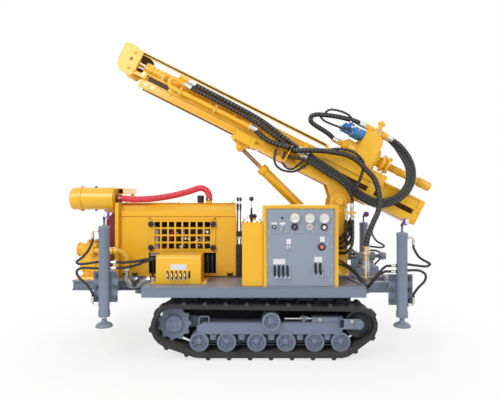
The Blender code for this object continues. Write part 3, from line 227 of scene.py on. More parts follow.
def spread(obj, places):
    """Copies of a modelled piece, each with its own mesh, joined into one."""
    made = []
    for place in places:
        one = obj.copy()
        one.data = obj.data.copy()
        one.data.transform(place if isinstance(place, Matrix) else Matrix.Translation(place))
        bpy.context.scene.collection.objects.link(one)
        made.append(one)
    bpy.data.objects.remove(obj, do_unlink=True)
    return joined(made)


def joined(parts):
    alone(parts[0])
    for obj in parts[1:]:
        obj.select_set(True)
    if len(parts) > 1:
        bpy.ops.object.join()
    return bpy.context.object


def seat(name, parts, body="machine", on_mast=False, angle=35):
    """Join the shapes, put them in place on their body and smooth what is round."""
    obj = joined(parts)
    obj.name = obj.data.name = name
    obj.data.transform(Matrix.Translation((SHIFT, 0, 0)) @ (MAST if on_mast else Matrix.Identity(4)))
    alone(obj)
    bpy.ops.object.shade_smooth_by_angle(angle=radians(angle))
    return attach(obj, body)


def facing(point, normal):
    """Place for a small piece that was drawn at the origin with its top along +Z."""
    turn = Vector((0, 0, 1)).rotation_difference(Vector(normal).normalized()).to_matrix().to_4x4()
    return Matrix.Translation(point) @ turn


def bolts(points, normal, size=1.0, mat="zinc"):
    """Hexagon heads with a washer and the thread's end."""
    r = sizes().bolt * 0.5 * size
    head = turned([(-0.002, r * 1.35), (0.003 * size, r * 1.35), (0.0031 * size, r), (0.012 * size, r),
        (0.0145 * size, r * 0.8)], (0, 0, 0), UP, mat, 6)
    return spread(head, [facing(p, normal) for p in points])


def ring(at, axis, r, count, turn=0):
    """Points on a circle square to an axis."""
    ways = {"x": ((0, 1, 0), (0, 0, 1)), "y": ((1, 0, 0), (0, 0, 1)), "z": ((1, 0, 0), (0, 1, 0))}[axis]
    angles = [2 * pi * (k + turn) / count for k in range(count)]
    return [[c + r * (cos(a) * p + sin(a) * q) for c, p, q in zip(at, *ways)] for a in angles]


def between(side, a, b, middle=0):
    """Lowest and highest place of two distances on one side of a middle."""
    return sorted((middle + side * a, middle + side * b))


# finishes
LOOKS = {}


def node(tree, kind, at=(0, 0), **values):
    n = tree.nodes.new(kind)
    n.location = at
    for key, value in values.items():
        if hasattr(n, key):
            setattr(n, key, value)
        else:
            n.inputs[key.replace("_", " ")].default_value = value
    return n


def wire(source, output, target, socket):
    source.id_data.links.new(source.outputs[output], target.inputs[socket])


def surface_group():
    """Clouding, small specks and fine texture, from a place on the piece."""
    if "surface_variation" in bpy.data.node_groups:
        return bpy.data.node_groups["surface_variation"]
    g = bpy.data.node_groups.new("surface_variation", "ShaderNodeTree")
    g.interface.new_socket("Vector", in_out="INPUT", socket_type="NodeSocketVector")
    for name in ("Cloud Scale", "Speck Scale", "Speck Share", "Grain Scale"):
        g.interface.new_socket(name, in_out="INPUT", socket_type="NodeSocketFloat")
    for name in ("Cloud", "Speck", "Height"):
        g.interface.new_socket(name, in_out="OUTPUT", socket_type="NodeSocketFloat")
    start, end = node(g, "NodeGroupInput", (-700, 0)), node(g, "NodeGroupOutput", (500, 0))
    cloud = node(g, "ShaderNodeTexNoise", (-400, 200), Detail=4.0, Roughness=0.6)
    speck = node(g, "ShaderNodeTexNoise", (-400, -50), Detail=3.0, Roughness=0.7)
    grain = node(g, "ShaderNodeTexNoise", (-400, -300), Detail=2.0)
    for tex, socket in ((cloud, "Cloud Scale"), (speck, "Speck Scale"), (grain, "Grain Scale")):
        wire(start, "Vector", tex, "Vector")
        wire(start, socket, tex, "Scale")
    edge = node(g, "ShaderNodeMath", (-200, -50), operation="SUBTRACT")
    wire(speck, "Fac", edge, 0)
    wire(start, "Speck Share", edge, 1)
    sharp = node(g, "ShaderNodeMath", (0, -50), operation="MULTIPLY", use_clamp=True)
    sharp.inputs[1].default_value = 18.0
    wire(edge, 0, sharp, 0)
    height = node(g, "ShaderNodeMath", (200, -200), operation="SUBTRACT")
    wire(grain, "Fac", height, 0)
    wire(sharp, 0, height, 1)
    wire(cloud, "Fac", end, "Cloud")
    wire(sharp, 0, end, "Speck")
    wire(height, 0, end, "Height")
    return g


def finish(name, colour, rough, metal=0.0, vary=0.12, speck=None, share=0.72, grain=220.0, bump=0.05, coat=0.0,
        cloud=3.0, speck_scale=60.0, dust_and_sheen=0.0):
    """A finish: clouded colour, specks or chips, fine bump and roughness, and a pale layer on what faces up,
    partly settled dirt and partly a painted sheen.
    """
    mat = bpy.data.materials.new(name)
    mat.use_nodes = True
    tree = mat.node_tree
    shader = tree.nodes["Principled BSDF"]
    shader.inputs["Metallic"].default_value = metal
    shader.inputs["Coat Weight"].default_value = coat
    shader.inputs["Coat Roughness"].default_value = 0.12
    place = node(tree, "ShaderNodeTexCoord", (-1100, 0))
    group = node(tree, "ShaderNodeGroup", (-850, 0))
    group.node_tree = surface_group()
    for socket, value in (("Cloud Scale", cloud), ("Speck Scale", speck_scale), ("Speck Share", share),
            ("Grain Scale", grain)):
        group.inputs[socket].default_value = value
    wire(place, "Object", group, "Vector")
    ramp = node(tree, "ShaderNodeMix", (-550, 200), data_type="RGBA")
    ramp.inputs["A"].default_value = (*[c * (1 - vary) for c in colour], 1)
    ramp.inputs["B"].default_value = (*[min(c * (1 + vary), 1) for c in colour], 1)
    wire(group, "Cloud", ramp, "Factor")
    last = ramp.outputs["Result"]
    if speck:
        chips = node(tree, "ShaderNodeMix", (-350, 100), data_type="RGBA")
        chips.inputs["B"].default_value = (*speck, 1)
        wire(group, "Speck", chips, "Factor")
        tree.links.new(last, chips.inputs["A"])
        last = chips.outputs["Result"]
    # pale layer on upward faces: settled dirt, and a painted sheen that lightens the tops of things
    if dust_and_sheen:
        shape = node(tree, "ShaderNodeNewGeometry", (-850, -350))
        up = node(tree, "ShaderNodeSeparateXYZ", (-650, -350))
        wire(shape, "Normal", up, 0)
        share_up = node(tree, "ShaderNodeMath", (-450, -350), operation="MULTIPLY", use_clamp=True)
        wire(up, "Z", share_up, 0)
        wire(group, "Cloud", share_up, 1)
        amount = node(tree, "ShaderNodeMath", (-300, -350), operation="MULTIPLY", use_clamp=True)
        amount.inputs[1].default_value = dust_and_sheen
        wire(share_up, 0, amount, 0)
        layer = node(tree, "ShaderNodeMix", (-150, 0), data_type="RGBA")
        layer.inputs["B"].default_value = (0.42, 0.37, 0.31, 1)
        wire(amount, 0, layer, "Factor")
        tree.links.new(last, layer.inputs["A"])
        last = layer.outputs["Result"]
    tree.links.new(last, shader.inputs["Base Color"])
    gloss = node(tree, "ShaderNodeMapRange", (-550, -150))
    gloss.inputs["To Min"].default_value = rough * 0.8
    gloss.inputs["To Max"].default_value = min(rough * 1.25, 1)
    wire(group, "Cloud", gloss, "Value")
    wire(gloss, "Result", shader, "Roughness")
    relief = node(tree, "ShaderNodeBump", (-350, -150))
    relief.inputs["Strength"].default_value = 0.6
    relief.inputs["Distance"].default_value = bump * 0.01
    wire(group, "Height", relief, "Height")
    wire(relief, "Normal", shader, "Normal")
    return mat


def guarded_hose(name, colour, rough, pitch, depth, wear_and_highlight=0.0):
    """Hose with a spiral round it, from the tube's own map: u runs along in metres, v once round; the spiral's
    crests are lightened, partly as wear and partly as a painted highlight.
    """
    mat = finish(name, colour, rough, vary=0.3, speck=(0.1, 0.09, 0.08), share=0.72, bump=0.02)
    tree = mat.node_tree
    shader = tree.nodes["Principled BSDF"]
    uv = node(tree, "ShaderNodeUVMap", (-1100, -600), uv_map="UVMap")
    parts = node(tree, "ShaderNodeSeparateXYZ", (-900, -600))
    wire(uv, "UV", parts, 0)
    run = node(tree, "ShaderNodeMath", (-700, -600), operation="MULTIPLY_ADD")
    run.inputs[1].default_value = 1 / pitch
    wire(parts, "X", run, 0)
    wire(parts, "Y", run, 2)
    turns = node(tree, "ShaderNodeMath", (-500, -600), operation="MULTIPLY")
    turns.inputs[1].default_value = 2 * pi
    wire(run, 0, turns, 0)
    wave = node(tree, "ShaderNodeMath", (-300, -600), operation="SINE")
    wire(turns, 0, wave, 0)
    relief = node(tree, "ShaderNodeBump", (-100, -600))
    relief.inputs["Strength"].default_value = 1.0
    relief.inputs["Distance"].default_value = depth
    wire(wave, 0, relief, "Height")
    wire(relief, "Normal", shader, "Normal")
    # crests of the spiral get a lighter colour: partly wear, partly a painted highlight
    crest = node(tree, "ShaderNodeMapRange", (-100, -850))
    for socket, value in (("From Min", 0.88), ("From Max", 1.0), ("To Min", 0.0), ("To Max", wear_and_highlight)):
        crest.inputs[socket].default_value = value
    wire(wave, 0, crest, "Value")
    old = shader.inputs["Base Color"].links[0].from_socket
    crest_lightening = node(tree, "ShaderNodeMix", (100, -850), data_type="RGBA")
    crest_lightening.inputs["B"].default_value = (*[min(1, c * 2 + 0.11) for c in colour], 1)
    wire(crest, "Result", crest_lightening, "Factor")
    tree.links.new(old, crest_lightening.inputs["A"])
    wire(crest_lightening, "Result", shader, "Base Color")
    return mat


def look(name):
    """Finish by name, made when it is first asked for."""
    if name in LOOKS:
        return LOOKS[name]
    c = bpy.context.scene.rig_colours
    table = {
        "yellow": dict(colour=tuple(c.yellow), rough=0.34, vary=0.05, speck=(0.5, 0.24, 0.03), share=0.765,
            coat=0.25, dust_and_sheen=0.25),
        "grey_blue": dict(colour=tuple(c.grey), rough=0.42, vary=0.1, speck=(0.3, 0.32, 0.36), share=0.74,
            dust_and_sheen=0.45, coat=0.1),
        "plate_grey": dict(colour=tuple(c.plate), rough=0.45, vary=0.05, speck=(0.36, 0.4, 0.46), share=0.76),
        # on the track's rubber the pale upward layer is mostly a painted sheen on the lugs
        "black_rubber": dict(colour=(0.022, 0.022, 0.024), rough=0.62, vary=0.4, speck=(0.075, 0.07, 0.062),
            share=0.6, bump=0.2, dust_and_sheen=0.3),
        # dark metal, also used as painted shade on the idlers
        "dark_metal": dict(colour=(0.035, 0.036, 0.04), rough=0.45, metal=0.5, vary=0.3,
            speck=(0.11, 0.08, 0.06), share=0.68),
        "steel": dict(colour=(0.78, 0.78, 0.76), rough=0.16, metal=1.0, vary=0.05, bump=0.01),
        "zinc": dict(colour=(0.66, 0.65, 0.6), rough=0.3, metal=0.85, vary=0.12, bump=0.03),
        # dark brown painted as the shade inside the rails' windows and slots and on the crown's web
        "cavity": dict(colour=(0.075, 0.032, 0.008), rough=0.7, vary=0.3),
        "old_zinc": dict(colour=(0.3, 0.31, 0.32), rough=0.42, metal=0.7, vary=0.2, bump=0.03),
        "brass": dict(colour=(0.74, 0.58, 0.36), rough=0.3, metal=0.85, vary=0.15, bump=0.03),
        "red_hose": dict(colour=(0.66, 0.035, 0.055), rough=0.38, vary=0.12),
        "dark_red": dict(colour=(0.17, 0.008, 0.01), rough=0.45, vary=0.25, speck=(0.05, 0.01, 0.01),
            share=0.66),
        "motor_blue": dict(colour=(0.02, 0.17, 0.5), rough=0.32, vary=0.18, coat=0.2),
        "light_blue": dict(colour=(0.1, 0.36, 0.72), rough=0.35, vary=0.12),
        "black_plastic": dict(colour=(0.012, 0.012, 0.014), rough=0.3, vary=0.3, bump=0.03),
        "white_label": dict(colour=(0.8, 0.78, 0.82), rough=0.5, vary=0.05, speck=(0.62, 0.6, 0.66), share=0.58,
            speck_scale=260.0),
        "dial_face": dict(colour=(0.86, 0.85, 0.82), rough=0.35, vary=0.03),
        "dial_print": dict(colour=(0.05, 0.05, 0.07), rough=0.5, vary=0.1),
        "purple_boot": dict(colour=(0.2, 0.05, 0.4), rough=0.5, vary=0.2),
        "orange": dict(colour=(0.8, 0.2, 0.04), rough=0.4, vary=0.1),
        "deep_shadow": dict(colour=(0.006, 0.006, 0.007), rough=0.8, vary=0.3),
        "pale_plastic": dict(colour=(0.62, 0.66, 0.7), rough=0.4, vary=0.1),
        # dark brown for seam lines, and as painted shade under the lid and in the crown's recess
        "seam_brown": dict(colour=(0.3, 0.13, 0.02), rough=0.7, vary=0.2),
        "seam_dark": dict(colour=(0.05, 0.06, 0.08), rough=0.7, vary=0.2),
        "rust_bolt": dict(colour=(0.22, 0.07, 0.03), rough=0.6, metal=0.3, vary=0.4, speck=(0.09, 0.03, 0.015),
            share=0.6),
        "gauge_rim": dict(colour=(0.72, 0.66, 0.58), rough=0.28, metal=0.6, vary=0.1),
        "grey_print": dict(colour=(0.36, 0.38, 0.42), rough=0.5, vary=0.1),
        "dark_dial": dict(colour=(0.06, 0.05, 0.1), rough=0.4, vary=0.2),
        "rose_dial": dict(colour=(0.5, 0.3, 0.32), rough=0.4, vary=0.2),
        "well_blue": dict(colour=(0.1, 0.115, 0.15), rough=0.5, vary=0.15, speck=(0.25, 0.2, 0.16), share=0.66,
            dust_and_sheen=0.3),
        "navy_knob": dict(colour=(0.012, 0.012, 0.05), rough=0.35, vary=0.2),
    }
    if name == "spiral_hose":
        # the spiral guard's crests lightened: wear and a painted highlight
        LOOKS[name] = guarded_hose(name, (0.01, 0.01, 0.011), 0.26, sizes().guard_pitch, 0.0022, 0.5)
    elif name == "plain_hose":
        LOOKS[name] = guarded_hose(name, (0.018, 0.018, 0.02), 0.35, 0.01, 0.0007)
    elif name == "wire_red":
        LOOKS[name] = guarded_hose(name, (0.76, 0.04, 0.07), 0.28, 0.024, 0.0022)
    else:
        LOOKS[name] = finish(name, **table[name])
    return LOOKS[name]


# hoses
def smooth_route(points, count):
    """Points along a Catmull-Rom curve through the route's own points, evenly spaced."""
    p = [Vector(q) for q in points]
    p = [p[0] * 2 - p[1]] + p + [p[-1] * 2 - p[-2]]
    fine = []
    for i in range(1, len(p) - 2):
        for k in range(12):
            t = k / 12
            a, b, c, d = p[i - 1], p[i], p[i + 1], p[i + 2]
            fine.append(0.5 * (2 * b + (c - a) * t + (2 * a - 5 * b + 4 * c - d) * t * t
                + (3 * b - a - 3 * c + d) * t ** 3))
    fine.append(p[-2])
    run = [0.0]
    for a, b in zip(fine, fine[1:]):
        run.append(run[-1] + (b - a).length)
    out, k = [], 0
    for i in range(count):
        s = run[-1] * i / (count - 1)
        while k < len(run) - 2 and run[k + 1] < s:
            k += 1
        f = (s - run[k]) / max(run[k + 1] - run[k], 1e-09)
        out.append(fine[k].lerp(fine[k + 1], min(max(f, 0), 1)))
    return out


def up_mast(points):
    return [tuple(MAST @ Vector((-u, y, v))) for u, y, v in points]


def seen(column, row, y):
    """Point at depth y behind a place in the 500 by 400 view."""
    d = (y - CAMERA[1]) / FOCAL
    return (CAMERA[0] + (column - VIEW[0] / 2) * d, y, CAMERA[2] - (row - HORIZON) * d)


def tube(name, pts, r, mat, sides=14):
    """Hose wall round a line of points, with a map that runs along it."""
    steps = [(b - a).normalized() for a, b in zip(pts, pts[1:])]
    heading = [steps[0]] + [(a + b).normalized() for a, b in zip(steps, steps[1:])] + [steps[-1]]
    side = heading[0].orthogonal().normalized()
    verts, runs = [], [0.0]
    for a, b in zip(pts, pts[1:]):
        runs.append(runs[-1] + (b - a).length)
    for q, w in zip(pts, heading):
        side = (side - w * side.dot(w)).normalized()
        other = w.cross(side)
        verts += [q + (side * cos(2 * pi * i / sides) + other * sin(2 * pi * i / sides)) * r
            for i in range(sides)]
    faces, maps = [], []
    for k in range(len(pts) - 1):
        for i in range(sides):
            j = (i + 1) % sides
            faces.append((k * sides + i, k * sides + j, (k + 1) * sides + j, (k + 1) * sides + i))
            maps += [(runs[k], i / sides), (runs[k], (i + 1) / sides), (runs[k + 1], (i + 1) / sides),
                (runs[k + 1], i / sides)]
    faces += [tuple(range(sides - 1, -1, -1)), tuple(range(len(verts) - sides, len(verts)))]
    maps += [(0, 0)] * sides + [(runs[-1], 0)] * sides
    mesh = bpy.data.meshes.new(name)
    mesh.from_pydata([tuple(v) for v in verts], [], faces)
    mesh.uv_layers.new(name="UVMap")
    for loop, uv in zip(mesh.uv_layers["UVMap"].data, maps):
        loop.uv = uv
    mesh.materials.append(look(mat))
    for face in mesh.polygons[:-2]:
        face.use_smooth = True
    obj = bpy.data.objects.new(name, mesh)
    bpy.context.scene.collection.objects.link(obj)
    return (obj, runs[-1])


def hose(name, route, d, mat="spiral_hose", body="machine", count=60, node_name=None, bend=None,
        straight=True):
    """A free hose along a route; one given bend = (body, body, start, end), for a hose that crosses a joint, is
    baked in place and left unattached; the bend's bodies and points are not used.
    """
    if straight:
        pts = [Vector(route[0])] + smooth_route(route[1:-1], count - 2) + [Vector(route[-1])]
    else:
        pts = smooth_route(route, count)
    pts = [q + Vector((SHIFT, 0, 0)) for q in pts]
    obj, length = tube(name, pts, d / 2, mat)
    if node_name:
        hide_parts(node_name)
    if bend:
        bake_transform(obj)
    else:
        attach(obj, body)
    return obj


PIPE_Y, TEE_Y, STRAP_Y, PAIR_Y = -0.206, (-0.06, 0.035), -0.274, -0.212
CLAMP_U, STRAP_U, HEAD_V = (0.618, 0.645), (0.774, 0.786), 0.655
BULKHEAD = (1.035, -0.255)
PAIR_A = up_mast([(2.19 - GAP, PAIR_Y, 0.409), (2.14, PAIR_Y, 0.4055), (1.9, PAIR_Y, 0.405),
    (1.55, PAIR_Y, 0.4), (1.25, PAIR_Y, 0.385), (1.02, PAIR_Y, 0.345), (0.88, PAIR_Y, 0.315),
    (0.75, PAIR_Y, 0.292), (0.69, PAIR_Y, 0.288), (CLAMP_U[1] + GAP, PAIR_Y, 0.288)])
PAIR_B = up_mast([(2.16 - GAP, PAIR_Y, 0.462), (2.11, PAIR_Y, 0.46), (1.9, PAIR_Y, 0.458),
    (1.55, PAIR_Y, 0.453), (1.25, PAIR_Y, 0.439), (1.02, PAIR_Y, 0.4), (0.88, PAIR_Y, 0.37),
    (0.75, PAIR_Y, 0.347), (0.69, PAIR_Y, 0.342), (CLAMP_U[1] + GAP, PAIR_Y, 0.342)])
LOOP_A = up_mast([(CLAMP_U[0] - GAP, PAIR_Y, 0.288), (0.57, PAIR_Y, 0.288), (0.45, -0.216, 0.26),
    (0.136, -0.222, 0.222), (-0.149, -0.228, 0.148), (-0.3, -0.232, 0.14)]) + [(1.33, -0.234, 1.588),
    (1.433, -0.236, 1.591), (1.56, -0.24, 1.642), (1.67, -0.24, 1.729), (1.736, -0.23, 1.838),
    (1.764, -0.205, 1.966), (1.756, -0.165, 2.085), (1.713, -0.12, 2.2),
    (1.64, -0.08, 2.305)] + up_mast([(-0.25, TEE_Y[0], 0.955), (-0.19 - GAP, TEE_Y[0], 0.955)])
LOOP_B = up_mast([(CLAMP_U[0] - GAP, PAIR_Y, 0.342), (0.57, PAIR_Y, 0.342), (0.45, -0.216, 0.317),
    (0.136, -0.222, 0.279), (-0.149, -0.228, 0.206), (-0.3, -0.232, 0.197)]) + [(1.345, -0.236, 1.648),
    (1.44, -0.24, 1.65), (1.535, -0.245, 1.692), (1.618, -0.245, 1.762), (1.672, -0.235, 1.85),
    (1.696, -0.21, 1.966), (1.684, -0.165, 2.075), (1.648, -0.1, 2.18),
    (1.605, -0.02, 2.29)] + up_mast([(-0.245, TEE_Y[1], 0.955), (-0.19 - GAP, TEE_Y[1], 0.955)])
AIR_UPPER = up_mast([(1.3 - GAP, PIPE_Y, 0.31), (1.25, PIPE_Y, 0.31), (1.17, -0.218, 0.28),
    (1.06, -0.242, 0.257), (0.95, -0.264, 0.262), (0.87, -0.272, 0.277), (0.83, STRAP_Y, 0.284),
    (STRAP_U[1] + GAP, STRAP_Y, 0.284)])
AIR_LOWER = up_mast([(STRAP_U[0] - GAP, STRAP_Y, 0.284), (0.735, STRAP_Y, 0.284), (0.617, -0.288, 0.346),
    (0.4585, -0.302, 0.419), (0.348, -0.308, 0.458), (0.188, -0.318, 0.502), (0.0487, -0.33, 0.499)]) + [(1.174,
    -0.35, 1.997), (1.256, -0.37, 1.899), (1.291, -0.395, 1.793), (1.302, -0.43, 1.653), (1.272, -0.475, 1.53),
    (1.195, -0.525, 1.39), (1.14, -0.552, 1.26), (1.12, -0.56, 1.16), (1.12, -0.56, 1.1053 + GAP)]
BUNDLE = up_mast([(STRAP_U[0] - GAP, STRAP_Y, 0.2), (0.72, STRAP_Y, 0.2)]) + [(0.455, -0.276, 2.125),
    (0.593, -0.278, 2.05), (0.738, -0.278, 1.955), (0.862, -0.276, 1.884), (0.95, -0.272, 1.815),
    (1.006, -0.264, 1.745), (1.032, -0.257, 1.675), (*BULKHEAD, 1.62), (*BULKHEAD, 1.57 + GAP)]
HEAD_LOOP = up_mast([(0.3 + GAP, 0, HEAD_V), (0.35, 0, HEAD_V), (0.43, -0.002, 0.682), (0.5226, -0.006, 0.695),
    (0.6305, -0.012, 0.703), (0.702, -0.02, 0.7225), (0.722, -0.03, 0.775), (0.675, -0.038, 0.822),
    (0.573, -0.046, 0.864), (0.455, -0.052, 0.903), (0.331, -0.058, 0.934), (0.225, TEE_Y[0], 0.953),
    (0.15, TEE_Y[0], 0.955), (0.1 + GAP, TEE_Y[0], 0.955)])
INTAKE = [(-1.6647, -0.2, 1.67), (-1.6247, -0.2, 1.67), (-1.57, -0.2, 1.668), (-1.47, -0.195, 1.66),
    (-1.28, -0.17, 1.668), (-1.06, -0.11, 1.702), (-0.875, -0.055, 1.75), (-0.745, -0.035, 1.792),
    (-0.675, -0.025, 1.776), (-0.638, -0.02, 1.73), (-0.63, -0.02, 1.692), (-0.63, -0.02, 1.6423)]


def seen_rays(tree):
    """One for what the camera sees, straight, mirrored or through glass."""
    path = node(tree, "ShaderNodeLightPath", (-600, 300))
    ray = path.outputs["Is Camera Ray"]
    for k, extra in enumerate(("Is Glossy Ray", "Is Transmission Ray")):
        also = node(tree, "ShaderNodeMath", (-400 + 150 * k, 300), operation="MAXIMUM")
        tree.links.new(ray, also.inputs[0])
        wire(path, extra, also, 1)
        ray = also.outputs[0]
    return ray


class RigStage(bpy.types.Operator):
    """Camera at the photograph's view, soft lights and a pale floor"""
    bl_idname = "rig.stage"
    bl_label = "Stage"

    def execute(self, context):
        scene = context.scene
        scene.view_settings.view_transform = "Standard"
        data = bpy.data.cameras.new("camera")
        data.sensor_width = 36
        data.lens = FOCAL / VIEW[0] * data.sensor_width
        data.shift_y = (HORIZON - VIEW[1] / 2) / VIEW[0]
        cam = bpy.data.objects.new("camera", data)
        cam.location = (CAMERA[0] + SHIFT, *CAMERA[1:])
        cam.rotation_euler = (radians(90), 0, 0)
        scene.collection.objects.link(cam)
        scene.camera = cam
        for name, place, aim, size, power in (("key", (-3.5, -5.5, 5.5), (0, 0, 1.0), 3.5, 270),
                ("side", (5.5, -3.5, 3.5), (0.5, 0, 1.2), 3.0, 85),
                ("top", (0.5, 1.5, 6.5), (0, 0, 1), 4.0, 95), ("back", (0, 6.0, 3.5), (0, 0, 1), 4.0, 60)):
            lamp = bpy.data.lights.new(name, "AREA")
            lamp.size, lamp.energy = size, power
            obj = bpy.data.objects.new(name, lamp)
            obj.location = (place[0] + SHIFT, place[1], place[2])
            obj.rotation_euler = (Vector(aim) - Vector(place)).to_track_quat("-Z", "Y").to_euler()
            scene.collection.objects.link(obj)
        world = bpy.data.worlds.new("surround")
        scene.world = world
        world.use_nodes = True
        tree = world.node_tree
        back = tree.nodes["Background"]
        level = node(tree, "ShaderNodeMapRange", (-200, 200))
        level.inputs["To Min"].default_value = 0.46
        level.inputs["To Max"].default_value = 1.0
        tree.links.new(seen_rays(tree), level.inputs["Value"])
        wire(level, "Result", back, "Strength")
        back.inputs["Color"].default_value = (1, 1, 1, 1)
        alone()
        half = sizes().floor
        bpy.ops.mesh.primitive_grid_add(x_subdivisions=2, y_subdivisions=2, size=2 * half,
            location=(0, 0, -0.002))
        floor = bpy.context.object
        floor.name = "floor"
        mat = bpy.data.materials.new("pale_floor")
        mat.use_nodes = True
        tree = mat.node_tree
        shader = tree.nodes["Principled BSDF"]
        shader.inputs["Base Color"].default_value = (0.93, 0.93, 0.93, 1)
        shader.inputs["Roughness"].default_value = 0.9
        light = node(tree, "ShaderNodeEmission", (-200, -200))
        light.inputs["Color"].default_value = (1, 1, 1, 1)
        mix = node(tree, "ShaderNodeMixShader", (200, 0))
        place = node(tree, "ShaderNodeTexCoord", (-1000, 500))
        far = node(tree, "ShaderNodeVectorMath", (-800, 500), operation="LENGTH")
        wire(place, "Object", far, 0)
        fade = node(tree, "ShaderNodeMapRange", (-600, 500), interpolation_type="SMOOTHSTEP")
        for socket, value in (("From Min", 1.6), ("From Max", 3.6), ("To Min", 0.72), ("To Max", 1.0)):
            fade.inputs[socket].default_value = value
        wire(far, "Value", fade, "Value")
        share = node(tree, "ShaderNodeMath", (0, 300), operation="MULTIPLY")
        wire(fade, "Result", share, 1)
        tree.links.new(seen_rays(tree), share.inputs[0])
        wire(share, 0, mix, "Fac")
        wire(shader, 0, mix, 1)
        wire(light, 0, mix, 2)
        tree.links.new(mix.outputs[0], tree.nodes["Material Output"].inputs["Surface"])
        floor.data.materials.append(mat)
        return {"FINISHED"}


class RigHoses(bpy.types.Operator):
    """Main hoses up the mast, round the rotary head and to the air valve"""
    bl_idname = "rig.hoses"
    bl_label = "Main hoses"

    def execute(self, context):
        hose("intake_duct", INTAKE, 0.074, "wire_red", count=90, node_name="intake_hose")
        hose("mast_hose_upper", PAIR_A, 0.05, body="mast", count=90, node_name="hose_mast_a")
        hose("mast_hose_lower", PAIR_B, 0.05, body="mast", count=90, node_name="hose_mast_b")
        a, b = up_mast([(0.0, 0, 0.2)])[0], up_mast([(-0.2, 0, 0.9)])[0]
        hose("feed_loop_outer", LOOP_A, 0.05, body=None, count=140, node_name="hose_loop_a",
            bend=("mast", "head", a, b))
        hose("feed_loop_inner", LOOP_B, 0.05, body=None, count=130, node_name="hose_loop_b",
            bend=("mast", "head", a, b))
        hose("air_hose_upper", AIR_UPPER, 0.06, body=None, count=50, node_name="hose_air_mast",
            bend=("mast", "cradle", AIR_UPPER[1], AIR_UPPER[-2]))
        hose("air_hose_lower", AIR_LOWER, 0.06, body=None, count=110, node_name="hose_air_deck",
            bend=("cradle", "machine", AIR_LOWER[4], AIR_LOWER[-2]))
        hose("tilt_hose", BUNDLE, 0.036, body=None, count=80, node_name="hose_bundle",
            bend=("cradle", "machine", BUNDLE[3], BUNDLE[-2]))
        hose("swivel_hose", HEAD_LOOP, 0.058, body="head", count=100, node_name="hose_head")
        middle = [tuple(((p + q) / 2 for p, q in zip(*pair))) for pair in zip(LOOP_A, LOOP_B)]
        hose("feed_loop_middle", middle, 0.042, body=None, count=120, bend=("mast", "head", a, b))
        small = (("motor_hose_upper", "head", 0.026,
                [(325.8, 116.5, -0.045), (325.8, 112.3, -0.05), (330.6, 109.6, -0.06), (338.3, 110.6, -0.07),
                    (346.0, 113.4, -0.08), (351.0, 117.4, -0.08), (352.3, 122.4, -0.072)]),
            ("motor_hose_lower", "head", 0.026,
                [(320.5, 116.8, -0.045), (324.0, 120.6, -0.06), (330.6, 123.8, -0.1), (338.3, 126.6, -0.14),
                    (345.0, 129.0, -0.15), (350.5, 128.4, -0.14)]),
            ("pilot_hose", "cradle", 0.034,
                [(330.0, 149.6, -0.29), (337.0, 149.0, -0.3), (344.0, 149.3, -0.31), (353.2, 152.0, -0.32),
                    (360.2, 157.7, -0.33), (363.7, 164.0, -0.33), (361.6, 174.6, -0.31), (358.0, 183.7, -0.285),
                    (353.9, 191.5, -0.262)]),
            ("under_mast_hose", "mast", 0.026,
                [(276.8, 148.6, -0.172), (275.0, 153.0, -0.17), (274.2, 159.7, -0.168), (276.8, 166.1, -0.17),
                    (283.8, 170.6, -0.17), (293.4, 171.5, -0.17), (301.5, 168.0, -0.172),
                    (309.0, 162.0, -0.174)]),
            ("under_mast_hose_inner", "mast", 0.024,
                [(285.2, 151.8, -0.172), (283.2, 156.5, -0.168), (282.5, 162.0, -0.14), (285.5, 167.0, -0.13),
                    (291.0, 169.3, -0.15), (297.5, 165.8, -0.168), (303.5, 160.5, -0.172)]))
        for name, body, d, row in small:
            hose(name, [seen(*q) for q in row], d, body=body, count=44, straight=False)
        return {"FINISHED"}


# small parts
ROLLERS, ROLLER_Z, ROLLER_R = (-0.673, -0.386, -0.07, 0.239, 0.54, 0.815), 0.169, 0.104
TOP_ROLLER, SPROCKET, IDLER, TRACK_Y = (0.083, 0.392), (-0.944, 0.349), (1.0, 0.36), 0.63
PANEL_FACE = -0.77
LIFT = (0.72, 1.32)
JACK_Z = {"front": (0.463, 1.396), "rear": (0.454, 1.327)}
JACK_X, JACK_Y = {"front": -1.642, "rear": 1.428}, 0.8


def refined(name, mat=None, angle=34):
    """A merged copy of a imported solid, smoothed where it is round, in the solid's place."""
    source = frame["nodes"][name]
    obj = bpy.data.objects.new(name + "_skin", source.data.copy())
    bpy.context.scene.collection.objects.link(obj)
    pick(obj, lambda f: True)
    bpy.ops.mesh.remove_doubles(threshold=2e-05)
    bpy.ops.mesh.select_all(action="SELECT")
    bpy.ops.mesh.dissolve_limited(angle_limit=radians(0.6))
    close()
    slots = {row["node"]: row["material_slot"] for row in frame["record"]["subparts"]}
    paint(obj, mat or slots[name])
    alone(obj)
    bpy.ops.object.shade_smooth_by_angle(angle=radians(angle))
    body = [b for b, nodes in frame["record"]["behaviour"]["bodies"].items() if name in nodes][0]
    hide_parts(name)
    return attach(obj, body)


def wheel(r, width, mat="grey_blue"):
    """Spoked wheel at the origin, its open face towards +Z."""
    dish = turned([(0, r), (width + 0.0005, r), (width + 0.0005, r * 0.8), (width - 0.029, r * 0.74)],
        (0, 0, 0), UP, mat, 32)
    hub = turned([(width - 0.031, 0.04), (width - 0.02, 0.03), (width - 0.004, 0.028), (width + 0.002, 0.02),
        (width + 0.002, 0.011), (width + 0.01, 0.01)], (0, 0, 0), UP, mat, 16)
    rib = block((0.022, r * 0.77), (-0.0065, 0.0065), (width - 0.031, width - 0.006), mat)
    ribs = spread(rib, [Matrix.Rotation(radians(a), 4, "Z") for a in (90, 210, 330)])
    return joined([dish, hub, ribs])


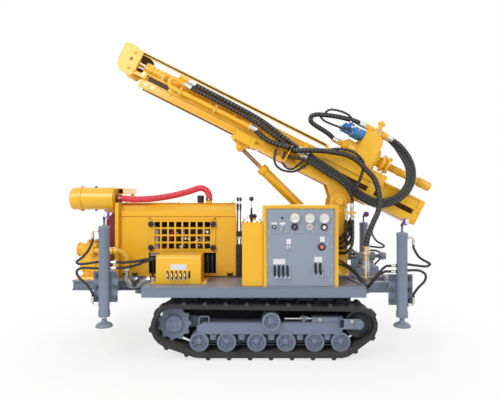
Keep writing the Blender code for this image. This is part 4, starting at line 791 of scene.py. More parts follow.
def track_frame(name, side):
    """Rail with folded edges, tensioner, idler's yoke, drive mount and feet."""
    y = side * TRACK_Y
    yf = y + side * 0.075
    z0, z1 = 0.253, 0.368
    rail = [(-0.7, z0 + 0.02), (-0.66, z0), (0.8, z0), (0.84, z0 + 0.03), (0.84, z1 + 0.01), (0.78, z1),
        (-0.62, z1), (-0.7, z1 - 0.03)]
    parts = [plate(rail, "y", sorted((y - side * 0.11, yf)), "grey_blue", 0.004),
        block((-0.69, 0.84), between(side, -0.1, -0.0925, y), (0.1, 0.3), "grey_blue", 0.003)]
    yoke = IDLER[0] - 0.155
    ez = IDLER[1]
    parts += [block((0.514, yoke - 0.001), between(side, -0.04, 0.068, y), (z1 - 0.02, 0.43), "grey_blue",
            0.006), bar((0.23, y + side * 0.02, 0.402), (0.53, y + side * 0.02, 0.402), 0.0135, "steel", 16),
        block((0.415, 0.445), between(side, -0.03, 0.062, y), (z1 - 0.02, 0.437), "grey_blue", 0.004)]
    for yy in (y - side * 0.1, y + side * 0.1):
        parts += [block((yoke - 0.045, IDLER[0] + 0.02), (yy - 0.012, yy + 0.012), (ez - 0.05, ez + 0.058),
                "grey_blue", 0.005), drum(0.052, 0.03, (IDLER[0], yy - 0.015, ez), FAR, "grey_blue", 28)]
    parts += [block((yoke - 0.044, yoke), between(side, -0.112, 0.112, y), (z1 - 0.043, ez + 0.056),
            "grey_blue", 0.004),
        bar((IDLER[0], y - side * 0.1, ez), (IDLER[0], y + side * 0.1, ez), 0.0245, "steel", 20)]
    sx, sz = SPROCKET
    parts += [plate([(-0.6, z0 + 0.02), (-0.6, z1), (sx, sz + 0.085), (sx - 0.06, sz + 0.06), (sx - 0.085, sz),
            (sx - 0.06, sz - 0.06), (sx, sz - 0.085)], "y", between(side, -0.145, -0.115, y), "grey_blue",
            0.004),
        block((-0.68, -0.57), between(side, -0.14, -0.083, y), (z0 + 0.027, z1 - 0.005), "grey_blue", 0.004),
        turned([(0, 0.075), (0.06, 0.075), (0.07, 0.068)], (sx, y - side * 0.13, sz), (0, side, 0), "grey_blue",
            28),
        turned([(0, 0.07), (0.012, 0.075), (0.09, 0.075), (0.1, 0.06)], (sx, y - side * 0.145, sz),
            (0, -side, 0), "dark_metal", 24)]
    for x in (-0.45, 0.45):
        parts.append(block((x - 0.09, x + 0.09), sorted((side * (TRACK_Y - 0.15), y - side * 0.1)),
            (z0 + 0.032, z1 - 0.005), "grey_blue", 0.004))
    tx, tz = TOP_ROLLER
    parts.append(block((tx - 0.05, tx + 0.05), between(side, -0.1, -0.065, y), (z1 - 0.02, tz), "grey_blue",
        0.004))
    seat("track_frame_dress_" + name, parts)
    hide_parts("track_frame_" + name)


class RigTracks(bpy.types.Operator):
    """Wheels, hubs, tensioner and bolts of the undercarriage"""
    bl_idname = "rig.tracks"
    bl_label = "Undercarriage"

    def execute(self, context):
        for name, side in SIDES:
            y, out = side * TRACK_Y, (0, side, 0)
            refined("sprocket_" + name)
            # the idler is painted near-black as painted shade: it sits recessed in shadow behind the belt
            refined("idler_" + name, "dark_metal")
            track_frame(name, side)
            # a near-black sheet inside each track, painted shade for the dark space behind the rollers and between
            # the belt's runs
            guard = [(-0.68, 0.068), (0.82, 0.068), (0.87, 0.085), (1.05, 0.26), (1.1, 0.36), (1.06, 0.45),
                (0.98, 0.49), (-0.9, 0.51), (-1.04, 0.46), (-1.07, 0.36), (-1.02, 0.25), (-0.88, 0.16)]
            seat("inner_guard_" + name, [plate(guard, "y", between(side, -0.147, -0.143, y), "deep_shadow",
                0.0)])
            places = [facing((x, y - side * 0.085, ROLLER_Z), out) @ Matrix.Rotation(0.7 * k, 4, "Z")
                for k, x in enumerate(ROLLERS)]
            seat("rollers_" + name, [spread(wheel(ROLLER_R - 0.0028, 0.17), places)])
            tx, tz = TOP_ROLLER
            top = wheel(0.0965, 0.19)
            top.data.transform(facing((tx, y - side * 0.07, tz), out) @ Matrix.Rotation(0.4, 4, "Z"))
            seat("top_roller_" + name, [top])
            # drive hub: raised ring and bolts
            sx, sz = SPROCKET
            face = y + side * 0.035
            parts = [turned([(0, 0.088), (0.012, 0.088), (0.014, 0.084), (0.014, 0.076), (0.008, 0.074)],
                    (sx, face, sz), out, "grey_blue", 32),
                bolts(ring((sx, face + side * 0.01, sz), "y", 0.04, 4, 0.5), out, 1.1, "grey_blue"),
                bolts(ring((sx, y + side * 0.019, sz), "y", 0.105, 9), out, 0.7, "grey_blue")]
            seat("drive_hub_" + name, parts)
            # frame trim: brackets between the rollers, lifting loop, edge strips, tensioner and cap
            yf = y + side * 0.075
            parts = []
            for a, b in zip(ROLLERS, ROLLERS[1:]):
                m = (a + b) / 2
                parts += [plate([(m - 0.052, 0.277), (m + 0.052, 0.277), (m + 0.034, 0.235), (m + 0.03, 0.185),
                        (m - 0.03, 0.185), (m - 0.034, 0.235)], "y", between(side, -0.055, -0.012, yf),
                        "grey_blue", 0.004), bolts([(m, yf - side * 0.013, 0.232)], out, 0.9, "grey_blue")]
            parts += [pipe([(-0.676, yf - side * 0.02, 0.355), (-0.676, yf - side * 0.02, 0.41),
                    (-0.668, yf - side * 0.02, 0.428), (-0.65, yf - side * 0.02, 0.432),
                    (-0.596, yf - side * 0.02, 0.432), (-0.578, yf - side * 0.02, 0.428),
                    (-0.57, yf - side * 0.02, 0.41), (-0.57, yf - side * 0.02, 0.355)], 0.008, "grey_blue"),
                block((-0.64, 0.8), between(side, -0.002, 0.004, yf), (0.358, 0.372), "grey_blue", 0.003),
                block((-0.64, 0.8), between(side, -0.002, 0.004, yf), (0.25, 0.264), "grey_blue", 0.003)]
            for x, r in ((0.392, 0.028), (0.448, 0.028), (0.468, 0.022)):
                parts.append(drum(r, 0.018, (x, y + side * 0.02, 0.402), RIGHT, "zinc", 6))
            thread = turned([(0, 0.016), (0.006, 0.016), (0.009, 0.013), (0.012, 0.016)], (0, 0, 0), RIGHT,
                "steel", 12)
            parts += [spread(thread, [(0.235 + 0.012 * k, y + side * 0.02, 0.402) for k in range(13)]),
                turned([(0, 0.046), (0.006, 0.046), (0.012, 0.03), (0.014, 0.018), (0.026, 0.017)],
                    (IDLER[0], y + side * 0.117, IDLER[1]), out, "grey_blue"),
                bolts([(IDLER[0] - 0.075, y + side * 0.112, 0.395)], out, 1.1)]
            seat("track_frame_trim_" + name, parts)
            seat("grease_port_" + name, [turned([(0, 0.014), (0.01, 0.014), (0.012, 0.008), (0.026, 0.008)],
                (0.6, y + side * 0.06, 0.4), out, "brass", 12)])
        return {"FINISHED"}


def elbow(x, y, z, out, drop):
    """Port union and elbow on a jack, ending at a crimped ferrule that points down or up."""
    a = x + out * 0.06
    parts = [turned([(0, 0.02), (0.016, 0.02), (0.018, 0.015), (0.034, 0.015)], (a, y, z), (out, 0, 0), "zinc",
        6)]
    e = a + out * 0.034
    parts += [pipe([(e - out * 0.004, y, z), (e + out * 0.012, y, z), (e + out * 0.022, y, z + drop * 0.01),
            (e + out * 0.024, y, z + drop * 0.026)], 0.01, "brass"),
        turned([(0, 0.015), (0.012, 0.015), (0.014, 0.0165), (0.052, 0.0165), (0.056, 0.013)],
            (e + out * 0.024, y, z + drop * 0.022), (0, 0, drop), "zinc", 12)]
    return parts


class RigJacks(bpy.types.Operator):
    """Jack tubes, feet, bolted plates, ports, gauges and the hoses that loop round them"""
    bl_idname = "rig.jacks"
    bl_label = "Jacks"

    def execute(self, context):
        for end, out in (("front", -1), ("rear", 1)):
            x, (z0, z1) = JACK_X[end], JACK_Z[end]
            p0, p1 = (0.6, 0.92) if end == "front" else (0.57, 0.89)
            for name, s in SIDES:
                y = s * JACK_Y
                h = z1 - z0
                parts = [turned([(0, 0.05), (0.004, 0.0595), (0.062, 0.0595), (0.07, 0.0545),
                        (h - 0.036, 0.0545), (h - 0.03, 0.0582), (h - 0.006, 0.0582), (h, 0.052), (h, 0.02),
                        (h + 0.012, 0.018), (h + 0.012, 0.012), (h + 0.045, 0.012)], (x, y, z0), UP,
                        "grey_blue", 32),
                    block((x - 0.125, x + 0.125), between(s, -0.04, -0.058, y), (p0, p1), "grey_blue", 0.004),
                    block((x - 0.11, x + 0.11), between(s, -0.055, -0.0737, y), (p0 + 0.02, p1 - 0.02),
                        "grey_blue", 0.004),
                    block((x - 0.03, x + 0.03), between(s, -0.03, -0.045, y), (p0 + 0.004, p1 - 0.004),
                        "grey_blue", 0.003)]
                spots = [(x + a * 0.098, y - s * 0.0405, z) for a in (-1, 1)
                    for z in (p0 + 0.045, (p0 + p1) / 2, p1 - 0.045)]
                parts.append(bolts(spots, (0, s, 0), 1.7, "well_blue"))
                seat(f"jack_tube_skin_{end}_{name}", parts)
                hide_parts(f"jack_tube_{end}_{name}")
                foot = [turned([(0, 0.08), (0.003, 0.0875), (0.014, 0.0875), (0.02, 0.082), (0.032, 0.072),
                        (0.042, 0.052), (0.048, 0.034), (0.054, 0.03), (0.062, 0.026), (0.09, 0.024)],
                        (x, y, 0.359), UP, "grey_blue", 36),
                    turned([(0.08, 0.0235), (0.83, 0.0235)], (x, y, 0.359), UP, "steel", 24)]
                seat(f"jack_foot_skin_{end}_{name}", foot, f"jack_{end}_{name}")
                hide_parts(f"jack_foot_{end}_{name}")
                # ports, ferrules and the gauge on top
                upper = elbow(x, y, z1 - 0.05, out, -1)
                lower = elbow(x, y, z0 + 0.13, out, 1)
                gauge = [turned([(0, 0.01), (0.03, 0.01), (0.032, 0.016), (0.046, 0.016)], (x, y, z1 + 0.04),
                        UP, "dark_metal", 6),
                    pipe([(x, y, z1 + 0.08), (x, y, z1 + 0.095), (x + 0.012, y, z1 + 0.104),
                        (x + 0.03, y, z1 + 0.106)], 0.008, "dark_metal")]
                if end == "front":
                    spot, view = (x + 0.026, y, z1 + 0.118), Vector((-0.62, s * 0.78, 0.05))
                else:
                    spot, view = (x + 0.038, y, z1 + 0.112), Vector((0.62, s * 0.78, 0.05))
                gauge += [turned([(-0.016, 0.026), (-0.012, 0.034), (-0.006, 0.0375), (0.012, 0.0375),
                        (0.016, 0.034)], spot, view, "purple_boot", 28),
                    turned([(0.0155, 0.0315), (0.0175, 0.0315)], spot, view, "dial_face", 28)]
                seat(f"jack_port_upper_{end}_{name}", upper)
                seat(f"jack_port_lower_{end}_{name}", lower)
                seat(f"jack_gauge_{end}_{name}", gauge)
        # hoses: upper and lower loop on each jack
        loops = {
            "jack_hose_front_upper": [(88.5, 250), (82, 257.5), (76.5, 262), (80, 264), (88, 263.4), (97, 262)],
            "jack_hose_front_lower": [(87, 285), (79.5, 278), (76.5, 272), (80, 268.5), (88, 268), (97, 268.4)],
            "jack_hose_rear_upper": [(419, 257), (427, 262), (430.2, 264.2), (426, 266.4), (417, 265.6),
                (408, 264.4)],
            "jack_hose_rear_lower": [(418, 288), (424.6, 281), (425.6, 275), (421, 271.2), (415, 270.2),
                (408, 270.4)],
        }
        for name, row in loops.items():
            end, out = ("front", -1) if "front" in name else ("rear", 1)
            x, (z0, z1) = JACK_X[end], JACK_Z[end]
            upper = "upper" in name
            tip = elbow_end(x, z1 - 0.05 if upper else z0 + 0.13, out, -1 if upper else 1)
            route = [tip, (tip[0], -JACK_Y, tip[2] + (-0.03 if upper else 0.03))]
            for c, r in row:
                route.append(seen(c, r, -0.8))
            c, r = row[-1]
            route.append(seen(c - 1.4 * out, r, -0.762))
            hose(name + "_near", route[::-1], 0.026, "plain_hose", count=40)
            back = [(px, -py, pz) for px, py, pz in route[::-1]]
            hose(name + "_far", back, 0.026, "plain_hose", count=40)
        return {"FINISHED"}


def elbow_end(x, z, out, drop):
    return (x + out * (0.06 + 0.034 + 0.024), -JACK_Y, z + drop * 0.0785)


def crimp(route, end, r, length=0.07, mat="zinc"):
    """Hose end: hexagon nut, swaged sleeve with two grooves."""
    at, away = route[end], route[1 if end == 0 else -2]
    R = r * 1.16
    d = Vector(away) - Vector(at)
    nut = turned([(-0.03, R * 1.02), (-0.028, R * 1.12), (-0.01, R * 1.12), (-0.008, R * 1.02)], at, d, mat, 6)
    sleeve = turned([(-0.01, R * 0.9), (0.004, R), (length * 0.3, R), (length * 0.34, R * 0.95),
        (length * 0.4, R), (length * 0.66, R), (length * 0.7, R * 0.95), (length * 0.76, R), (length * 0.97, R),
        (length, R * 0.92)], at, d, mat)
    return [nut, sleeve]


class RigHousing(bpy.types.Operator):
    """Seams, latches, grille knobs, what shows inside the housing, and the parts round it"""
    bl_idname = "rig.housing"
    bl_label = "Engine housing"

    def execute(self, context):
        front = -0.23
        for name in ("engine_housing", "grille_panel", "radiator_cowl", "engine_block", "pump"):
            refined(name)
        rest = []
        for y in ((-0.155, -0.112), (0.415, 0.455)):
            rest.append(block((-1.684, -1.643), y, (1.5 if y[0] < 0 else DECK_TOP, 1.73)))
        rest.append(block((-1.679, -1.6415), (-0.3, -0.24), (DECK_TOP, 1.62)))
        for z in ((1.72, 1.728), (1.782, 1.79)):
            rest.append(block((-1.701, -1.621), (-0.16, 0.455), z, edge=0.001))
        for x in ((-1.701, -1.693), (-1.629, -1.621)):
            rest.append(block(x, (-0.16, 0.455), (1.7275, 1.7825), edge=0.001))
        rest.append(block((-1.693, -1.629), (-0.03, 0.4), (1.7275, 1.7825), "deep_shadow", 0.0))
        seat("mast_rest_portal", rest)
        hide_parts("mast_rest")
        shell = [turned([(0, 0.108), (0.006, 0.118), (0.02, 0.128), (0.1, 0.128), (0.102, 0.138), (0.13, 0.138),
                (0.132, 0.128), (0.465, 0.128), (0.467, 0.134), (0.495, 0.134), (0.498, 0.126), (0.5, 0.06),
                (0.508, 0.04), (0.535, 0.038)], (-2.2, -0.2, 1.67), RIGHT, sides=48),
            block((-1.86, -1.684), (-0.12, -0.085), (1.5, 1.6), edge=0.003)]
        seat("air_cleaner_shell", shell)
        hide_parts("air_cleaner")
        # dark seam lines; the one below the lid is also painted shade of the lid's overhang
        seams = [block((-1.638, -0.312), (front - 0.0012, front), (1.46, 1.464), "seam_brown", 0.0),
            block((-1.3095, -1.306), (front - 0.0012, front), (0.792, 1.46), "seam_brown", 0.0),
            block((-0.5345, -0.531), (front - 0.0012, front), (0.792, 1.46), "seam_brown", 0.0),
            block((-1.303, -0.537), (front - 0.0072, front - 0.006), (1.064, 1.067), "seam_brown", 0.0)]
        seat("housing_seams", seams)
        lid = [block((-1.644, -0.304), (front - 0.006, front + 0.004), (1.466, 1.476)),
            block((-1.648, -0.3), (front + 0.085, 0.426), (1.6125, 1.6165), edge=0.0015),
            block((-0.3095, -0.3), (front - 0.004, 0.424), (0.79, 1.47))]
        lid += [block((x - 0.012, x + 0.012), (front - 0.012, front - 0.004), (1.052, 1.446))
            for x in (-1.292, -0.548)]
        lid += [block((-1.304, -0.536), (front - 0.012, front - 0.004), z)
            for z in ((1.43, 1.45), (1.046, 1.06))]
        seat("housing_flanges", lid)
        # black star knobs on the grille's corners
        knobs = []
        for x in (-1.277, -0.563):
            for z in (1.107, 1.378):
                knobs += [turned([(0, 0.014), (0.008, 0.014), (0.01, 0.03), (0.016, 0.0345), (0.034, 0.0345),
                        (0.04, 0.029), (0.043, 0.016)], (x, front - 0.004, z), NEAR, "black_plastic", 8),
                    bolts([(x, front - 0.046, z)], NEAR, 0.8, "dark_metal")]
        seat("grille_knobs", knobs)
        latches = []
        for x in (-1.468, -0.372):
            latches += [block((x - 0.035, x + 0.035), (front - 0.02, front - 0.001), (0.782, 0.796),
                    "black_plastic", 0.003), bolts([(x, front - 0.012, 0.797)], UP, mat="dark_metal"),
                bar((x - 0.02, front - 0.014, 0.797), (x - 0.032, front - 0.016, 0.822), 0.005, "black_plastic",
                    8),
                bar((x + 0.02, front - 0.014, 0.797), (x + 0.032, front - 0.016, 0.822), 0.005, "black_plastic",
                    8)]
        latches.append(turned([(0, 0.013), (0.006, 0.013), (0.007, 0.009)], (-1.6, front - 0.001, 0.8), NEAR,
            "deep_shadow", 14))
        seat("housing_latches", latches)
        # what shows through the grille and the opening below it
        inside = [block((-1.312, -1.205), (-0.197, -0.132), (1.0, 1.318), "pale_plastic", 0.012),
            turned([(0, 0.02), (0.03, 0.02), (0.032, 0.024), (0.045, 0.022)], (-1.26, -0.165, 1.318), UP,
                "pale_plastic", 14),
            pipe([(-1.02, -0.15, 1.33), (-1.05, -0.16, 1.26), (-1.085, -0.165, 1.15), (-1.115, -0.165, 1.06),
                (-1.13, -0.16, 0.96)], 0.018, "red_hose", smooth=5),
            turned([(0, 0.03), (0.02, 0.036), (0.04, 0.036), (0.045, 0.02)], (-1.115, -0.165, 1.045), UP,
                sides=16)]
        for k, (x, z) in enumerate(((-1.0, 1.26), (-0.9, 1.2), (-0.8, 1.27), (-0.7, 1.19), (-0.95, 1.1),
                (-0.84, 1.08), (-0.74, 1.11), (-0.64, 1.28))):
            inside.append(turned([(0, 0.022), (0.02, 0.022), (0.022, 0.015), (0.035, 0.014)], (x, -0.125, z),
                (0, -1, 0.3 * (k % 3 - 1)), ("zinc", "steel", "dark_metal")[k % 3], 6 if k % 2 else 14))
        for k, x in enumerate((-1.04, -0.93, -0.82, -0.71)):
            inside.append(pipe([(x, -0.13, 1.34), (x + 0.02, -0.16, 1.27), (x - 0.01, -0.165, 1.18),
                (x + 0.03, -0.15, 1.1), (x + 0.02, -0.13, 1.02)], 0.007,
                ("dark_metal", "steel", "black_plastic", "zinc")[k], 2))
        inside.append(pipe([(-0.9, -0.14, 1.22), (-0.8, -0.165, 1.16), (-0.7, -0.165, 1.21),
            (-0.62, -0.14, 1.17)], 0.009, "zinc", 2))
        belt = turned([(0, 0.03), (0.006, 0.034), (0.018, 0.034), (0.024, 0.03)], (0, 0, 0), UP,
            "black_plastic", 16)
        inside += [spread(belt, [(x, -0.165, 0.8 + 0.026 * k) for x in (-0.632, -0.578) for k in range(9)]),
            block((-1.29, -0.55), (-0.11, -0.1), (0.79, 1.03), "deep_shadow"),
            bar((-1.27, -0.17, 0.8), (-1.27, -0.17, 1.02), 0.016, "dark_metal")]
        seat("engine_dress", inside)
        # hose clamps, exhaust rim and roof bolts
        clamp = [drum(0.0405, 0.012, (-0.63, -0.02, 1.655), UP, "dark_metal", 24),
            drum(0.0405, 0.012, (-1.645, -0.2, 1.67), RIGHT, "dark_metal", 24),
            turned([(0, 0.044), (0.01, 0.047), (0.022, 0.044)], (-1.69, -0.2, 1.67), RIGHT, "dark_metal", 24),
            bolts([(-1.638, -0.246, 1.676), (-0.63, -0.066, 1.661)], NEAR, 0.7),
            bolts([(-0.352, -0.1, 1.6165), (-1.6, -0.1, 1.6165), (-0.98, -0.1, 1.6165), (-0.352, 0.38, 1.6165),
                (-1.6, 0.38, 1.6165)], UP, 0.8, "yellow")]
        seat("hose_clamps", clamp)
        seat("exhaust_tip", [turned([(0, 0.0408), (0.062, 0.0408), (0.066, 0.0385), (0.066, 0.034),
            (0.01, 0.033)], (-0.74, 0.06, 1.637), UP, "dark_metal", 28)])
        # bands and rivets on the air cleaner
        air = []
        for a, r, w in ((0.098, 0.1395, 0.006), (0.128, 0.1395, 0.006), (0.205, 0.1292, 0.004),
                (0.33, 0.1292, 0.004), (0.462, 0.1352, 0.006)):
            air.append(turned([(0, r - 0.003), (0.001, r), (w, r), (w + 0.001, r - 0.003)],
                (-2.2 + a, -0.2, 1.67), RIGHT, sides=40))
        seat("air_cleaner_bands", air)
        seat("air_cleaner_rivets", [bolts([(-2.085, -0.2, 1.7985), (-1.925, -0.2, 1.7985)], UP, 1.1,
                "rust_bolt"), bolts([(-2.085, -0.2, 1.5415), (-1.925, -0.2, 1.5415)], DOWN, 1.1, "rust_bolt")])
        # pump casting: flanges, ribs and bolts; the pipe's union nuts, and the plain pipe over the deck's edge
        pump = [drum(0.155, 0.014, (-1.91, -0.342, 0.94), NEAR, sides=32),
            turned([(0, 0.11), (0.016, 0.1), (0.02, 0.045), (0.045, 0.04)], (-1.91, -0.355, 0.94), NEAR,
                sides=32), bolts(ring((-1.91, -0.356, 0.94), "y", 0.132, 10), NEAR, 1.1, "yellow"),
            drum(0.082, 0.014, (-2.122, -0.2, 1.08), RIGHT, sides=28),
            turned([(0, 0.075), (0.018, 0.062), (0.02, 0.03), (0.034, 0.026)], (-2.112, -0.2, 1.08), LEFT,
                sides=28), bolts(ring((-2.123, -0.2, 1.08), "x", 0.062, 8), LEFT, 0.9, "yellow")]
        for k in range(3):
            pump.append(plate([(-2.02 + 0.07 * k, 1.14), (-1.99 + 0.07 * k, 1.14), (-1.995 + 0.07 * k, 1.195),
                (-2.012 + 0.07 * k, 1.195)], "y", (-0.25, -0.12), edge=0.004))
        for x, r in ((-1.7, 0.04), (-1.64, 0.04)):
            pump.append(turned([(0, r * 0.9), (0.004, r), (0.026, r), (0.03, r * 0.9)], (x, -0.405, 1.09),
                RIGHT, sides=8))
        pump.append(turned([(0, 0.033), (0.004, 0.037), (0.03, 0.037), (0.034, 0.033)], (-1.51, -0.405, 0.905),
            DOWN, "zinc", 8))
        seat("pump_castings", pump)
        seat("outlet_elbow", [pipe([(-1.51, -0.405, 0.9), (-1.51, -0.408, 0.86), (-1.506, -0.44, 0.815),
            (-1.498, -0.478, 0.768), (-1.47, -0.494, 0.728), (-1.425, -0.498, 0.714), (-1.365, -0.498, 0.73),
            (-1.3, -0.498, 0.772), (-1.235, -0.498, 0.794)], 0.0255, "old_zinc", 4, 5)])
        tap = [turned([(0, 0.036), (0.004, 0.04), (0.03, 0.04), (0.034, 0.036)], (-1.262, -0.498, 0.786),
                (1, 0, 0.25), "zinc", 8),
            block((-1.222, -1.188), (-0.52, -0.476), (DECK_TOP, 0.815), "zinc", 0.006),
            turned([(0, 0.012), (0.03, 0.012), (0.034, 0.026), (0.046, 0.026)], (-1.205, -0.498, 0.812), UP,
                "dark_metal", 10), bar((-1.4, -0.52, 0.735), (-1.345, -0.545, 0.8), 0.009, "dark_metal", 8),
            bar((-1.43, -0.52, 0.74), (-1.46, -0.55, 0.8), 0.008, "zinc", 8),
            drum(0.02, 0.036, (-1.395, -0.53, 0.728), (0, -1, 0.2), "dark_metal", 6)]
        seat("drain_taps", tap)
        return {"FINISHED"}


def slot_plate(x, z0, z1, y, w=0.011):
    """Rounded slot: a near-black plate painted as the shade in the opening, proud by a millimetre."""
    outline = [(x + w * cos(radians(a)), z1 - w + w * sin(radians(a))) for a in range(0, 181, 30)]
    outline += [(x + w * cos(radians(a)), z0 + w + w * sin(radians(a))) for a in range(180, 361, 30)]
    return plate(outline, "y", (y, y - 0.0022), "deep_shadow", 0.0)


class RigControls(bpy.types.Operator):
    """Control panel: gauges, switches, valves, levers, blank labels and screws"""
    bl_idname = "rig.controls"
    bl_label = "Control panel"

    def execute(self, context):
        y = PANEL_FACE
        refined("panel_box")
        face = [block((0.0363, 0.7397), (y, y + 0.0147), (DECK_TOP, 1.5717), "plate_grey", 0.0012),
            block((0.0375, 0.7385), (y - 0.0008, y), (1.3105, 1.3125), "seam_dark", 0.0)]
        seat("panel_face", face)
        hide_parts("panel_plate")

        def at(c, r):
            return seen(c, r, y)[::2]

        bezels, faces, marks = [], [], []
        for c, r in ((294.8, 218), (309.8, 218.4), (324.4, 218.4)):
            x, z = at(c, r)
            bezels.append(turned([(0, 0.053), (0.02, 0.053), (0.025, 0.049), (0.025, 0.0445), (0.02, 0.0435)],
                (x, y, z), NEAR, "gauge_rim", 36))
            faces.append(turned([(0.0195, 0.043), (0.0212, 0.043)], (x, y, z), NEAR, "dial_face", 36))
            tick = block((-0.0009, 0.0009), (-0.0006, 0.0), (0.0335, 0.0405), "dial_print", 0.0)
            marks.append(spread(tick, [Matrix.Translation((x, y - 0.0211, z))
                @ Matrix.Rotation(radians(a), 4, "Y") for a in range(-135, 136, 18)]))
            hand = block((-0.0011, 0.0011), (-0.0012, -0.0004), (-0.008, 0.031), "dial_print", 0.0)
            hand.data.transform(Matrix.Translation((x, y - 0.0213, z)) @ Matrix.Rotation(radians(-118), 4, "Y"))
            marks += [hand,
                turned([(0.0205, 0.0045), (0.0232, 0.0045), (0.024, 0.003)], (x, y, z), NEAR, "dial_print", 14)]
            arcs = block((-0.003, 0.003), (-0.0005, 0.0), (0.024, 0.0262), "grey_print", 0.0)
            marks.append(spread(arcs, [Matrix.Translation((x, y - 0.0211, z))
                @ Matrix.Rotation(radians(a), 4, "Y") for a in range(-120, 121, 15)]))
            for value, a in zip((0, 5, 10, 15, 20, 25), (-135, -81, -27, 27, 81, 135)):
                bpy.ops.object.text_add()
                word = bpy.context.object
                word.data.body, word.data.size = str(value), 0.0095
                word.data.align_x = word.data.align_y = "CENTER"
                bpy.ops.object.convert(target="MESH")
                word = bpy.context.object
                word.data.transform(Matrix.Translation((x + 0.0185 * sin(radians(a)), y - 0.0216, z
                    + 0.0185 * cos(radians(a)))) @ Matrix.Rotation(radians(90), 4, "X"))
                marks.append(paint(word, "dial_print"))
        seat("gauge_rims", bezels)
        seat("gauge_dials", faces)
        seat("gauge_marks", marks)
        knobs = []
        for c, r, rim, cap in ((294.6, 226.9, "black_plastic", "dark_dial"),
                (309.5, 226.9, "gauge_rim", "rose_dial"), (324.2, 227.2, "black_plastic", "dial_face")):
            x, z = at(c, r)
            knobs += [turned([(0, 0.036), (0.006, 0.036), (0.012, 0.033), (0.018, 0.032), (0.018, 0.021),
                    (0.014, 0.02)], (x, y, z), NEAR, rim, 28),
                turned([(0.0135, 0.0198), (0.0158, 0.0198)], (x, y, z), NEAR, cap, 24),
                block((x - 0.0015, x + 0.0015), (y - 0.0172, y - 0.0157), (z - 0.012, z + 0.014), "zinc", 0.0)]
        for c, r, rim, cap, size in ((274.1, 226.9, "black_plastic", "zinc", 0.02),
                (282.1, 226.3, "zinc", "light_blue", 0.019), (288.2, 247.6, "zinc", "light_blue", 0.024),
                (321.6, 246.7, "navy_knob", "orange", 0.041)):
            x, z = at(c, r)
            knobs += [turned([(0, size), (0.008, size), (0.012, size * 0.86), (0.016, size * 0.62),
                    (0.024, size * 0.6)], (x, y, z), NEAR, rim, 24),
                turned([(0.022, size * 0.5), (0.03, size * 0.46), (0.032, size * 0.3)], (x, y, z), NEAR, cap)]
        x, z = at(281.3, 230)
        knobs += [turned([(0, 0.0075), (0.012, 0.0075), (0.014, 0.005)], (x, y, z + 0.012), NEAR, "brass", 14),
            block((x - 0.0025, x + 0.0025), (y - 0.03, y - 0.014), (z - 0.014, z + 0.016), "brass", 0.001)]
        x, z = at(282.3, 218)
        knobs.append(turned([(0, 0.013), (0.004, 0.013), (0.006, 0.009)], (x, y, z), NEAR, "dark_metal", 16))
        x, z = at(324.2, 243.8)
        knobs.append(drum(0.008, 0.004, (x + 0.03, y, z), NEAR, "zinc", 12))
        seat("panel_knobs", knobs)
        labels = []
        for c0, r0, c1, r1 in ((271.2, 222.4, 277, 224.6), (279.7, 222.4, 285.4, 224.6),
                (286.5, 239, 291, 244.2), (320, 236.6, 324.6, 242.2), (273.2, 258.9, 285.3, 264.4),
                (314.2, 256.8, 322.2, 262.2)):
            (x0, z0), (x1, z1) = at(c0, r0), at(c1, r1)
            labels.append(block((x0, x1), (y - 0.0016, y), (z1, z0), "white_label", 0.0006))
        seat("panel_labels", labels)
        slots, levers, tips = [], [], []
        for c, top, low in ((274.7, 265.2, 275.4), (278.9, 265.2, 275.8), (283.1, 265.2, 275.8),
                (287.5, 265.2, 275.6), (315.6, 262.8, 273.4), (320.2, 262.8, 273.6)):
            (x, z1), z0 = at(c, top), at(c, low)[1]
            slots.append(slot_plate(x, z0, z1, y, 0.0118))
            levers += [pipe([(x, y - 0.002, z1 - 0.022), (x, y - 0.03, z1 - 0.032), (x, y - 0.048, z1 - 0.06),
                    (x + 0.001, y - 0.052, z0 + 0.03)], 0.0055),
                turned([(0, 0.008), (0.012, 0.0105), (0.04, 0.0115), (0.05, 0.008)],
                    (x + 0.001, y - 0.052, z0 + 0.042), (0.02, -0.08, -1), "black_plastic", 14)]
            tips.append(pipe([(x - 0.007, y - 0.056, z0 + 0.008), (x - 0.004, y - 0.058, z0 - 0.008),
                (x + 0.006, y - 0.058, z0 - 0.013), (x + 0.014, y - 0.056, z0 - 0.003),
                (x + 0.013, y - 0.054, z0 + 0.014)], 0.0032, "steel", 2))
        seat("panel_slots", slots)
        seat("panel_levers", levers)
        seat("lever_rings", tips)
        screws = []
        for c, r, yy in ((267.6, 207.8, -0.78), (302.5, 208.5, -0.78), (331.8, 208.5, -0.78),
                (336.6, 216.9, -0.78), (264.8, 219.3, -0.78), (264.8, 236, -0.78), (336.4, 250.7, -0.78),
                (336.4, 283, -0.78), (264.3, 258.6, -0.78), (264.3, 282.4, -0.78), (270, 211.4, y),
                (302.5, 212, y), (331.6, 212.4, y), (268.6, 231.4, y), (268.6, 233.6, y), (292, 231.4, y),
                (292, 233.6, y), (312.6, 231.4, y), (312.6, 233.6, y), (331.8, 231.6, y), (331.8, 233.8, y),
                (267.9, 246.8, y), (331.8, 246.9, y), (267.7, 264.8, y), (331.6, 265.5, y), (267.3, 280, y),
                (331.2, 280, y)):
            q = seen(c, r, yy)
            screws.append((q[0], yy, q[2]))
        seat("panel_screws", [bolts(screws, NEAR, 0.46)])
        return {"FINISHED"}


